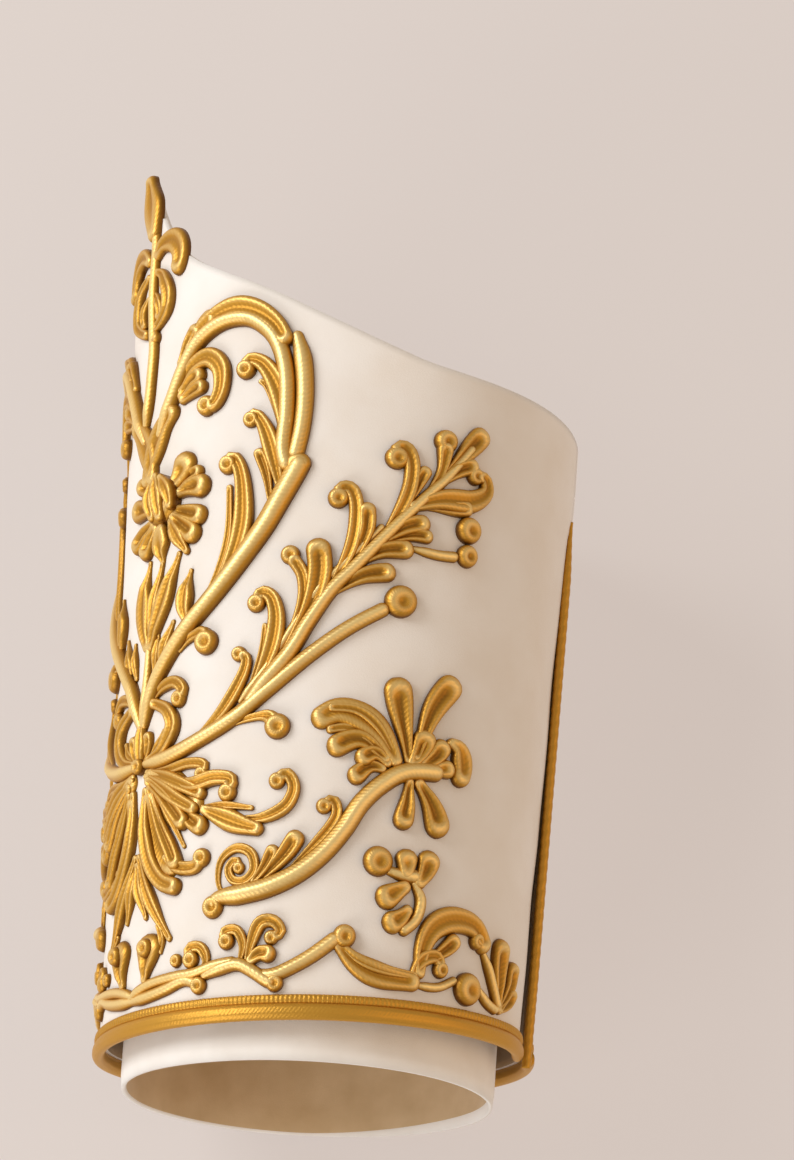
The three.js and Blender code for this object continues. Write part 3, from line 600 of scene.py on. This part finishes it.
def section_height(form, aside, root_gap, tip_gap):
    """Height of a stroke's section, from 0 at its edge to about 1. aside and the widths are shares
    of half the stroke. The gaps are how far the place is from its ends, in stroke widths."""
    groove, groove_width, hollow_width, fullness = 0.5, 0.14, 0.46, 0.7
    dome = math.sqrt(max(0.0, 1 - aside * aside))
    if form == "stem":
        return dome * (1 - GROOVE_DEPTH * math.exp(-((aside - groove) / groove_width) ** 2))
    fade = ease(0.2, 1.2, root_gap) * ease(0.3, 0.8, tip_gap)
    hollow = math.exp(-(aside / hollow_width) ** 2) * fade
    return dome ** fullness * (1 - HOLLOW_DEPTH[form] * hollow)


def add_stroke(mesh, row, base, gold):
    """Adds a stem, leaf, petal or hook, lifted by base off the cloth."""
    route = Route(row.path)
    cap_limit, edge = 0.4 * route.length, 0.999
    first_cap = min(0.5 * stroke_width(row, 0.0, route.length), cap_limit)
    last_cap = min(0.5 * stroke_width(row, 1.0, route.length), cap_limit)
    crest_limit = gold.stem_height if row.form == "stem" else gold.leaf_height
    sides = gold.columns
    spots = []
    for distance in stations(route.length, first_cap, last_cap, gold.step):
        end = min(1.0, distance / first_cap, (route.length - distance) / last_cap)
        rounding = math.sqrt(max(0.0, 1 - (1 - end) ** 2))
        width = stroke_width(row, distance / route.length, route.length)
        spots.append((route.at(distance), route.heading(distance), width, rounding,
                      distance / width, (route.length - distance) / width))

    def height(column, station):
        aside = -math.cos(math.pi * (column % (sides + 1)) / sides)
        if abs(aside) > edge:
            return aside, 0.0
        rounding, root_gap, tip_gap = spots[station][3:]
        return aside, rounding * section_height(row.form, aside, root_gap, tip_gap)

    def place(column, station):
        point, heading, width, rounding = spots[station][:4]
        aside, rise = height(column, station)
        lift = base + min(crest_limit, CREST_PER_WIDTH * width) * rise if rise > 0 else -BURIED
        offset = 0.5 * width * rounding * aside
        return on_pattern(point.x - heading.y * offset, point.y + heading.x * offset, lift)

    wide = max(row.start, row.end)
    close_up(mesh, shape_grid(mesh, sides + 1, len(spots) - 1, place, (wide, route.length),
                              lambda column, station: height(column, station)[1]))
    if row.form == "hook":
        knob = row._replace(form="ball", start=KNOB_PER_WIDTH * row.end, path=row.path[-1:])
        add_ball(mesh, knob, base, gold)


def add_ball(mesh, row, base, gold):
    """Adds a round knob with a dimple."""
    [(across, along)] = row.path
    crown = min(gold.stem_height, 0.5 * row.start)
    sides, rings, fullness, off_centre, dimple_width = 24, 9, 2.6, 0.1, 0.42

    def height(column, ring):
        turn = 2 * math.pi * (column % sides) / sides
        out = math.sin(math.pi / 2 * ring / rings)
        aside = math.hypot(out * math.cos(turn) - off_centre, out * math.sin(turn) + off_centre)
        dimple = DIMPLE_DEPTH * math.exp(-(aside / dimple_width) ** 2)
        return math.sqrt(max(0.0, 1 - out ** fullness)) * (1 - dimple)

    def place(column, ring):
        turn = 2 * math.pi * (column % sides) / sides
        spread = 0.5 * row.start * math.sin(math.pi / 2 * ring / rings)
        lift = -BURIED if ring == rings else base + crown * height(column, ring)
        return on_pattern(across + spread * math.cos(turn), along + spread * math.sin(turn), lift)

    sizes = (math.pi * row.start, 0.5 * row.start)
    close_up(mesh, shape_grid(mesh, sides, rings, place, sizes, height))


# Materials

def colour(code):
    """Linear colour from an sRGB hex value."""
    parts = [int(code[i:i + 2], 16) / 255 for i in (1, 3, 5)]
    linear = [p / 12.92 if p <= 0.04045 else ((p + 0.055) / 1.055) ** 2.4 for p in parts]
    return (*linear, 1.0)


def add_node(tree, kind, links=None, **settings):
    """Adds a node, with its properties, input values and links."""
    node = tree.nodes.new(kind)
    for key, value in settings.items():
        if hasattr(node, key):
            setattr(node, key, value)
        else:
            node.inputs[key.replace("_", " ")].default_value = value
    for socket, source in (links or {}).items():
        tree.links.new(source, node.inputs[socket])
    return node


def set_inputs(node, **values):
    for key, value in values.items():
        node.inputs[key.replace("_", " ")].default_value = value


def new_material(name):
    material = bpy.data.materials.new(name)
    material.use_nodes = True
    tree = material.node_tree
    tree.nodes.clear()
    shader = add_node(tree, "ShaderNodeBsdfPrincipled")
    add_node(tree, "ShaderNodeOutputMaterial", {"Surface": shader.outputs["BSDF"]})
    return material, tree, shader


def ramp(tree, source, stops):
    node = add_node(tree, "ShaderNodeValToRGB", {"Fac": source})
    elements = node.color_ramp.elements
    while len(elements) < len(stops):
        elements.new(0.5)
    for element, (position, code) in zip(elements, stops):
        element.position = position
        element.color = colour(code)
    return node


def dress(tree, shader, tone, blotches, rough, relief, strength, depth_mm):
    """Feeds a shader its colours, a roughness between two values and a bump."""
    low, high = rough
    rough = add_node(tree, "ShaderNodeMapRange", {"Value": blotches}, To_Min=low, To_Max=high)
    bump = add_node(tree, "ShaderNodeBump", {"Height": relief}, Strength=strength, Distance=depth_mm * MM)
    tree.links.new(tone.outputs["Color"], shader.inputs["Base Color"])
    tree.links.new(rough.outputs["Result"], shader.inputs["Roughness"])
    tree.links.new(bump.outputs["Normal"], shader.inputs["Normal"])


def woollen(name, light, dark, fibre_mm, cloud_mm):
    """Milled wool: short fibres felted over the weave give a soft, matte, slightly hazy face."""
    material, tree, shader = new_material(name)
    place = add_node(tree, "ShaderNodeTexCoord").outputs["Object"]
    cloud = add_node(tree, "ShaderNodeTexNoise", {"Vector": place}, Scale=1000 / cloud_mm, Detail=3.0,
                     Roughness=0.5)
    fibre = add_node(tree, "ShaderNodeTexNoise", {"Vector": place}, Scale=1000 / fibre_mm, Detail=4.0,
                     Roughness=0.7, Distortion=0.6)
    tone = ramp(tree, cloud.outputs["Fac"], [(0.3, dark), (0.7, light)])
    dress(tree, shader, tone, fibre.outputs["Fac"], (0.82, 0.98), fibre.outputs["Fac"], 0.25, 0.25)
    set_inputs(shader, Sheen_Weight=0.25, Sheen_Roughness=0.5)
    return material


def gilt_thread(name, bright, middle, dark, thread_mm, grain_mm):
    """Gilt thread laid side by side over padding: satin, with fine lines. Its colour carries painted shade
    and highlight: dark at the edges and in the hollows, bright on the crests, by the height kept on each
    point.
    """
    material, tree, shader = new_material(name)
    place = add_node(tree, "ShaderNodeTexCoord")
    rise = add_node(tree, "ShaderNodeAttribute", attribute_name="rise")
    lines = add_node(tree, "ShaderNodeTexWave", {"Vector": place.outputs["UV"]}, wave_type="BANDS",
                     bands_direction="DIAGONAL", Scale=WAVE_SCALE / thread_mm, Distortion=0.8, Detail=2.0,
                     Detail_Scale=1.5)
    grain = add_node(tree, "ShaderNodeTexNoise", {"Vector": place.outputs["Object"]},
                     Scale=1000 / grain_mm, Detail=3.0, Roughness=0.5)
    both = add_node(tree, "ShaderNodeMix", {"A": grain.outputs["Fac"], "B": lines.outputs["Fac"]},
                    Factor=0.25)
    level = add_node(tree, "ShaderNodeMath", {0: rise.outputs["Fac"], 1: both.outputs["Result"]},
                     operation="MULTIPLY")
    spread = add_node(tree, "ShaderNodeMix", {"A": rise.outputs["Fac"], "B": level.outputs["Value"]},
                      Factor=0.12)
    # Painted shade and highlight: the height on each point picks dark gold at edges and hollows, bright
    # gold on crests
    tone = ramp(tree, spread.outputs["Result"], [(0.18, dark), (0.6, middle), (0.93, bright)])
    dress(tree, shader, tone, grain.outputs["Fac"], (0.36, 0.52), both.outputs["Result"], 0.6, 0.16)
    set_inputs(shader, Metallic=0.65)
    return material


# Sizes and colours that can be changed in the sidebar

def hex_colour(name, where, code):
    return bpy.props.StringProperty(name=name, description="sRGB hex colour of " + where, default=code)


def number(name, description, default, low=0.0, **unit):
    return bpy.props.FloatProperty(name=name, description=description, default=default, min=low, **unit)


class CuffClothSettings(bpy.types.PropertyGroup):
    cloth_thickness: number("Cloth thickness", "Thickness of the wool with its backing",
                            1.8 * MM, 0.5 * MM, unit="LENGTH")
    lining_thickness: number("Lining thickness", "Thickness of the padded sleeve end",
                             1.6 * MM, 0.5 * MM, unit="LENGTH")
    cloth_light: hex_colour("Cloth colour", "the white wool", "#F3EFEB")
    cloth_dark: hex_colour("Cloth shade", "the wool's slightly darker clouds", "#EDE6DE")
    lining_colour: hex_colour("Lining colour", "the sleeve end", "#FAF8F5")
    inside_shade_colour: hex_colour("Inside shade colour", "the painted shade on the lining's inner face", "#DCC29C")


class CuffGoldSettings(bpy.types.PropertyGroup):
    stem_height: number("Stem height", "How far a stem stands above the cloth, in millimetres", 2.9, 0.5)
    leaf_height: number("Leaf height", "How far a leaf stands above the cloth, in millimetres", 2.5, 0.5)
    step: number("Row spacing", "Distance between rows of faces along a stroke, in millimetres", 0.8, 0.3)
    columns: bpy.props.IntProperty(
        name="Columns", description="Rows of faces across a stroke", default=16, min=6)
    # Colours of the gold's painted highlight on its crests, its own middle tone, and painted shade in its
    # hollows
    bright: hex_colour("Gold crest highlight", "the painted highlight on the gold's crests", "#FBDD96")
    middle: hex_colour("Middle gold", "most of the gold", "#CC9632")
    dark: hex_colour("Gold hollow shade", "the painted shade in the gold's hollows and at its edges", "#744A08")


class CuffStageSettings(bpy.types.PropertyGroup):
    floor_colour: hex_colour("Floor colour", "the floor", "#838383")
    floor_glow: hex_colour("Floor glow", "the light through the floor", "#BAAEA8")
    key_power: number("Key light", "Power of the soft light from the left", 9.8, unit="POWER")
    sky_strength: number("Ambient light", "Strength of the even light from all round", 0.44)
    fill_power: number("Fill light", "Power of the warm light from the right", 3.5, unit="POWER")
    mouth_power: number("Mouth light", "Power of the soft light beyond the wrist", 6.0, unit="POWER")


def cloth_columns():
    """Angles away from the point for the cloth's columns, from the vent's far edge round to its
    near edge, closer together at the point."""
    far, near = VENT_FAR - FRONT_ANGLE - 360, VENT_NEAR - FRONT_ANGLE
    tip, under, front, side = 24, 64, 48, 40
    turns = [far] + [mix(far + VENT_SHADE_STRIP, -tip, i / under) for i in range(under)]
    turns += [mix(-tip, tip, i / front) for i in range(front)]
    turns += [mix(tip, near, i / side) for i in range(side + 1)]
    return turns


def from_axis(face):
    """A face's direction from the cuff's axis, its angle and its height above the hem line."""
    centre = face.calc_center_median()
    spoke = Vector((centre.x - AXIS_X * MM, 0, centre.z - AXIS_HEIGHT * MM))
    return spoke, math.degrees(math.atan2(spoke.x, spoke.z)), centre.y / MM - HEM_Y


class CUFF_OT_cloth(bpy.types.Operator):
    """Make the white wool cuff, pointed at the front and open at the vent"""
    bl_idname = "cuff.cloth"
    bl_label = "Cuff cloth"

    def execute(self, context):
        cloth = context.scene.cuff_cloth
        turns = cloth_columns()
        rows, blend_start, near_edge = 88, 100.0, VENT_NEAR - FRONT_ANGLE

        def place(column, row):
            turn, rise = turns[column], row / rows
            away = min(abs(turn), 360 - abs(turn))
            foot = hem_edge(FRONT_ANGLE + turn) + CLOTH_FOOT
            along = mix(foot, top_edge(away), rise)
            middle = centre_line(along) + PEAK_ASIDE * ease(*PEAK_LEAN, along)
            lean = max(0.0, 1 - away / PEAK_REACH) * math.degrees(middle / PATTERN_RADIUS) * rise
            if turn > blend_start:
                edge = vent_near(along) - FRONT_ANGLE
                turn = mix(blend_start, edge, (turn - blend_start) / (near_edge - blend_start))
            angle = FRONT_ANGLE + turn + lean
            return around(angle, along, cloth_radius(angle, along))

        mesh = bmesh.new()
        verts = shape_grid(mesh, len(turns) - 1, rows, place, (340.0, 200.0))
        bmesh.ops.remove_doubles(mesh, verts=verts, dist=WELD)
        bmesh.ops.recalc_face_normals(mesh, faces=mesh.faces)
        face = next(iter(mesh.faces))
        if from_axis(face)[0].dot(face.normal) < 0:
            bmesh.ops.reverse_faces(mesh, faces=mesh.faces)
        # Painted shade: a narrow strip of faces along the vent's far edge, under the cord, takes the brown
        # backing, for the dark gap beside the cord
        for face in mesh.faces:
            angle, along = from_axis(face)[1:]
            shade_strip = 0 < angle - VENT_FAR < VENT_SHADE_STRIP and along < VENT_TOP
            face.material_index = 1 if shade_strip else 0
        wool = woollen("Milled wool cloth", cloth.cloth_light, cloth.cloth_dark, 0.5, 18.0)
        # Partly painted shade: this brown lines the wall's inner face, darkening the gap seen under the
        # hem, and colours the strip at the vent
        backing = woollen("Brown backing and painted shade", "#A98A62", "#97784F", 0.5, 9.0)
        made = piece("cuff_cloth", mesh, [wool, backing], ["cuff_shell"])
        wall = made.modifiers.new("Thickness", "SOLIDIFY")
        wall.thickness = cloth.cloth_thickness
        wall.offset = -1
        wall.use_even_offset = True
        wall.material_offset = 1
        return {"FINISHED"}


class CUFF_OT_lining(bpy.types.Operator):
    """Make the white sleeve end that shows below the hem and inside the opening"""
    bl_idname = "cuff.lining"
    bl_label = "Sleeve lining"

    def execute(self, context):
        cloth = context.scene.cuff_cloth
        radius, drop, top, straight = 47.0, 10.8, 155.0, 15.0
        slant, aside, slack, slack_heights = 0.012, -1.0, 0.6, (40, 120)
        ripple_depth, scale, ripple_length = 0.25, 2, 25
        turned_widths, turned_sides = (0.6, 2.6), (-0.1, 0.95)
        shell_wall, gap, columns, rows = 1.8, 0.3, 120, 48
        thick = cloth.lining_thickness / MM
        up = [(i / rows, 0.0) for i in range(rows + 1)]
        down = [(rise, thick) for rise, _ in reversed(up)]
        # The rims are rounded by drawing in their corners a little
        rim = 0.4
        profile = [(0.0, rim), *up[1:-1], (1.0, rim), (1.0, thick - rim), *down[1:-1], (0.0, thick - rim)]

        def mouth_level(angle):
            return slant * radius * math.sin(math.radians(angle)) - drop

        def turn_in(angle):
            """How far the twill is turned in over the mouth, most on the vent's side."""
            return mix(*turned_widths, ease(*turned_sides, math.sin(math.radians(angle))))

        def place(column, row):
            angle = 360 * (column % columns) / columns - 180
            rise, depth = profile[row % len(profile)]
            along = mix(mouth_level(angle), top, rise)
            if depth and rise == up[1][0]:
                along = mouth_level(angle) + turn_in(angle)
            fitted = HEM_RADIUS + FLARE * along - shell_wall - gap - slack * ease(*slack_heights, along)
            out = mix(radius, fitted, ease(straight, top, along))
            turn = math.radians(angle)
            spot = Vector((scale * math.sin(turn), scale * math.cos(turn), along / ripple_length))
            ripple = ripple_depth * noise.noise(spot)
            point = around(angle, along, out + ripple - depth, shell_wall + gap + depth)
            point.x += aside * MM * (1 - ease(straight, top, along))
            return point

        mesh = bmesh.new()
        close_up(mesh, shape_grid(mesh, columns, len(profile), place, (300.0, 330.0)))
        # Painted shade: inside, beyond the narrow hem of the white twill, the inner face is coloured a
        # darker tan for the shade within the sleeve
        for face in mesh.faces:
            spoke, angle, along = from_axis(face)
            inner = spoke.dot(face.normal) < -0.1 * MM
            face.material_index = 1 if inner and along - mouth_level(angle) > turn_in(angle) else 0
        twill = woollen("White cotton twill", cloth.lining_colour, "#F1EDE8", 0.4, 12.0)
        # Painted shade: the tan of the lining's inner face stands for the shade inside the sleeve
        inside = woollen("Lining inside, painted shade", cloth.inside_shade_colour, "#CFB38A", 0.4, 9.0)
        made = piece("sleeve_end", mesh, [twill, inside], ["sleeve_lining"])
        return {"FINISHED"}


def hem_strip(mesh, rows, section, girth):
    """A band round the hem that stops short of the vent. section(row) gives its (out, up) points."""
    margin, sides, length = 1, len(section(0)), 335.0
    start, finish = VENT_FAR + margin - 360, VENT_NEAR - margin

    def place(column, row):
        angle = mix(start, finish, row / rows)
        out, up = section(row)[column % sides]
        radius = HEM_RADIUS - tuck(angle, 0) + out
        return around(angle, hem_edge(angle, radius) + up, radius)

    close_up(mesh, shape_grid(mesh, sides, rows, place, (girth, length)))


class CUFF_OT_hem_trims(bpy.types.Operator):
    """Make the cord and the ribbed braid along the hem"""
    bl_idname = "cuff.hem_trims"
    bl_label = "Hem cord and braid"

    def execute(self, context):
        gold = context.scene.cuff_gold
        cord_gold = gilt_thread("Gilt cord", "#CE9A38", "#976614", gold.dark, 0.5, 0.5)
        # The cord is oval, with shallow lines along it
        cord_sides, half_thick, half_tall, stand_off, drop = 36, 1.6, 2.15, 0.1, 1.45
        line_depth, line_scale, line_width = 0.06, 3.2, 0.03

        def cord_section(row):
            points = []
            for i in range(cord_sides):
                turn = 2 * math.pi * i / cord_sides
                gap = (math.cos(turn) * line_scale + 1) % 2 - 1
                out = half_thick * (1 - line_depth * math.exp(-gap ** 2 / line_width)) * math.sin(turn)
                points.append((out + stand_off, half_tall * math.cos(turn) - drop))
            return points

        ribs, per_rib, rib_depth = 300, 4, 0.22
        back, face_out, low, high = 0.2, 1.05, 0.45, 2.6

        def braid_section(row):
            out = face_out + rib_depth * abs(math.sin(math.pi * row / per_rib))
            return [(back, low), (out - 0.25, low), (out, 0.8), (out + 0.1, 1.5), (out, 2.3),
                    (out - 0.3, high), (back, high)]

        for name, node, rows, section, girth in (
                ("hem_piping", "hem_cord", 300, cord_section, 10.0),
                ("hem_braid_band", "hem_braid", ribs * per_rib, braid_section, 6.0)):
            mesh = bmesh.new()
            hem_strip(mesh, rows, section, girth)
            made = piece(name, mesh, [cord_gold], [node])
        return {"FINISHED"}


class CUFF_OT_vent_cord(bpy.types.Operator):
    """Make the thin twisted cord along the vent's far edge"""
    bl_idname = "cuff.vent_cord"
    bl_label = "Vent cord"

    def execute(self, context):
        gold = context.scene.cuff_gold
        radius, sides, rows, twist_mm, groove = 1.25, 12, 420, 3.2, 0.9
        foot, top, slant_end = -5.4, VENT_TOP + 1, 20
        tip_length, tip_width = 18, 0.45
        angle = VENT_FAR - 1.6
        turned = math.radians(angle)
        out = Vector((math.sin(turned), 0, math.cos(turned)))
        side = Vector((math.cos(turned), 0, -math.sin(turned)))

        def place(column, row):
            level = mix(foot, top, row / rows)
            slant = hem_level(angle) * max(0.0, 1 - level / slant_end)
            middle = around(angle, level + slant, HEM_RADIUS + FLARE * level)
            turn = 2 * math.pi * (column % sides) / sides
            strands = mix(groove, 1.0, abs(math.cos(turn - math.pi * level / twist_mm)))
            taper = mix(1.0, tip_width, ease(top - tip_length, top, level))
            reach = radius * strands * taper * MM
            return middle + reach * (math.cos(turn) * out + math.sin(turn) * side)

        mesh = bmesh.new()
        close_up(mesh, shape_grid(mesh, sides, rows, place, (8.0, 145.0)))
        cord_gold = gilt_thread("Gilt edging cord", gold.middle, "#9A6A1A", "#4A2E05", 0.5, 0.5)
        made = piece("vent_edging", mesh, [cord_gold], ["vent_cord"])
        return {"FINISHED"}


class CUFF_OT_embroidery(bpy.types.Operator):
    """Make the raised gold embroidery, one piece for each motif"""
    bl_idname = "cuff.embroidery"
    bl_label = "Gold embroidery"

    def execute(self, context):
        gold = context.scene.cuff_gold
        thread = gilt_thread("Gilt embroidery thread", gold.bright, gold.middle, gold.dark, 0.55, 0.9)
        for name, rows in MOTIFS.items():
            mesh = bmesh.new()
            for i, row in enumerate(rows):
                add = add_ball if row.form == "ball" else add_stroke
                add(mesh, row, LAYER_STEP * (i % LAYERS) + row.raised, gold)
            made = piece("gold_" + name, mesh, [thread], [name])
        return {"FINISHED"}


class CUFF_OT_stage(bpy.types.Operator):
    """Make the floor, the lights and the camera"""
    bl_idname = "cuff.stage"
    bl_label = "Stage"

    def add_light(self, name, place, size, power, tint):
        """Adds a round soft light aimed at the cuff."""
        lamp = bpy.data.lights.new(name, "AREA")
        lamp.shape = "DISK"
        lamp.size = size
        lamp.energy = power
        lamp.color = colour(tint)[:3]
        made = add_object(name, lamp)
        made.location = place
        aim = Vector((0, 0, 0.05))
        made.rotation_euler = (aim - made.location).to_track_quat("-Z", "Y").to_euler()

    def execute(self, context):
        stage = context.scene.cuff_stage
        mesh = bmesh.new()
        bmesh.ops.create_grid(mesh, x_segments=1, y_segments=1, size=4.0)
        material, tree, shader = new_material("Matte paper floor")
        place = add_node(tree, "ShaderNodeTexCoord").outputs["Object"]
        cloud = add_node(tree, "ShaderNodeTexNoise", {"Vector": place}, Scale=3.0, Detail=2.0)
        tone = ramp(tree, cloud.outputs["Fac"], [(0.2, stage.floor_colour), (0.8, "#888888")])
        tree.links.new(tone.outputs["Color"], shader.inputs["Base Color"])
        # The paper is lit through from below, so that the cuff's shadow on it stays light
        set_inputs(shader, Roughness=0.95, Emission_Color=colour(stage.floor_glow), Emission_Strength=1.0)
        floor = mesh_object("floor", mesh, [material])

        self.add_light("key", (-0.95, 0.4, 0.85), 0.8, stage.key_power, "#FFFDFA")
        self.add_light("fill", (1.0, -0.2, 0.75), 1.2, stage.fill_power, "#FFC87E")
        self.add_light("mouth fill", (-0.8, -1.0, 0.6), 0.8, stage.mouth_power, "#FFF8F2")

        world = bpy.data.worlds.new("Soft studio")
        world.use_nodes = True
        background = world.node_tree.nodes["Background"]
        set_inputs(background, Color=colour("#F7EFE6"), Strength=stage.sky_strength)
        context.scene.world = world
        context.scene.view_settings.view_transform = "Standard"

        # The camera looks down on the cuff, up along it by 18 degrees, with a small roll. It
        # stands at eye, in millimetres from the axis at the hem. focal is in pixels.
        tilt, roll = math.radians(18.0), math.radians(3.6)
        eye = (13.44, -253.25, 1172.90)
        forward = Vector((0, math.sin(tilt), -math.cos(tilt)))
        level, upright = Vector((1, 0, 0)), Vector((0, math.cos(tilt), math.sin(tilt)))
        right = math.cos(roll) * level + math.sin(roll) * upright
        up = -math.sin(roll) * level + math.cos(roll) * upright
        focal, frame_height = 4735.0, 1160.0
        lens = bpy.data.cameras.new("camera")
        lens.sensor_width = 36.0
        lens.lens = focal / frame_height * lens.sensor_width
        lens.clip_end = 20.0
        camera = add_object("camera", lens)
        turn = Matrix((right, up, -forward)).transposed().to_4x4()
        place = Vector((eye[0] + AXIS_X, eye[1] + HEM_Y, eye[2] + AXIS_HEIGHT)) * MM
        camera.matrix_world = Matrix.Translation(place) @ turn
        context.scene.camera = camera
        return {"FINISHED"}


class CUFF_PT_panel(bpy.types.Panel):
    bl_idname = "CUFF_PT_panel"
    bl_label = "Embroidered cuff"
    bl_space_type = "VIEW_3D"
    bl_region_type = "UI"
    bl_category = "Cuff"

    def draw(self, context):
        for group in ("cuff_cloth", "cuff_gold", "cuff_stage"):
            settings = getattr(context.scene, group)
            box = self.layout.box()
            for key in settings.__annotations__:
                box.prop(settings, key)
        for operator in OPERATORS:
            self.layout.operator(operator.bl_idname)


OPERATORS = (CUFF_OT_cloth, CUFF_OT_lining, CUFF_OT_hem_trims, CUFF_OT_vent_cord, CUFF_OT_embroidery,
             CUFF_OT_stage)
SETTINGS = {"cuff_cloth": CuffClothSettings, "cuff_gold": CuffGoldSettings, "cuff_stage": CuffStageSettings}


def register():
    for group in SETTINGS.values():
        bpy.utils.register_class(group)
    for name, group in SETTINGS.items():
        setattr(bpy.types.Scene, name, bpy.props.PointerProperty(type=group))
    for made in (*OPERATORS, CUFF_PT_panel):
        bpy.utils.register_class(made)


def unregister():
    for made in (CUFF_PT_panel, *reversed(OPERATORS)):
        bpy.utils.unregister_class(made)
    for name in SETTINGS:
        delattr(bpy.types.Scene, name)
    for group in reversed(SETTINGS.values()):
        bpy.utils.unregister_class(group)


def main():
    register()
    bpy.ops.cuff.stage()
    bpy.ops.cuff.cloth()
    bpy.ops.cuff.lining()
    bpy.ops.cuff.hem_trims()
    bpy.ops.cuff.vent_cord()
    bpy.ops.cuff.embroidery()
    bpy.context.view_layer.update()


if __name__ == "__main__":
    main()
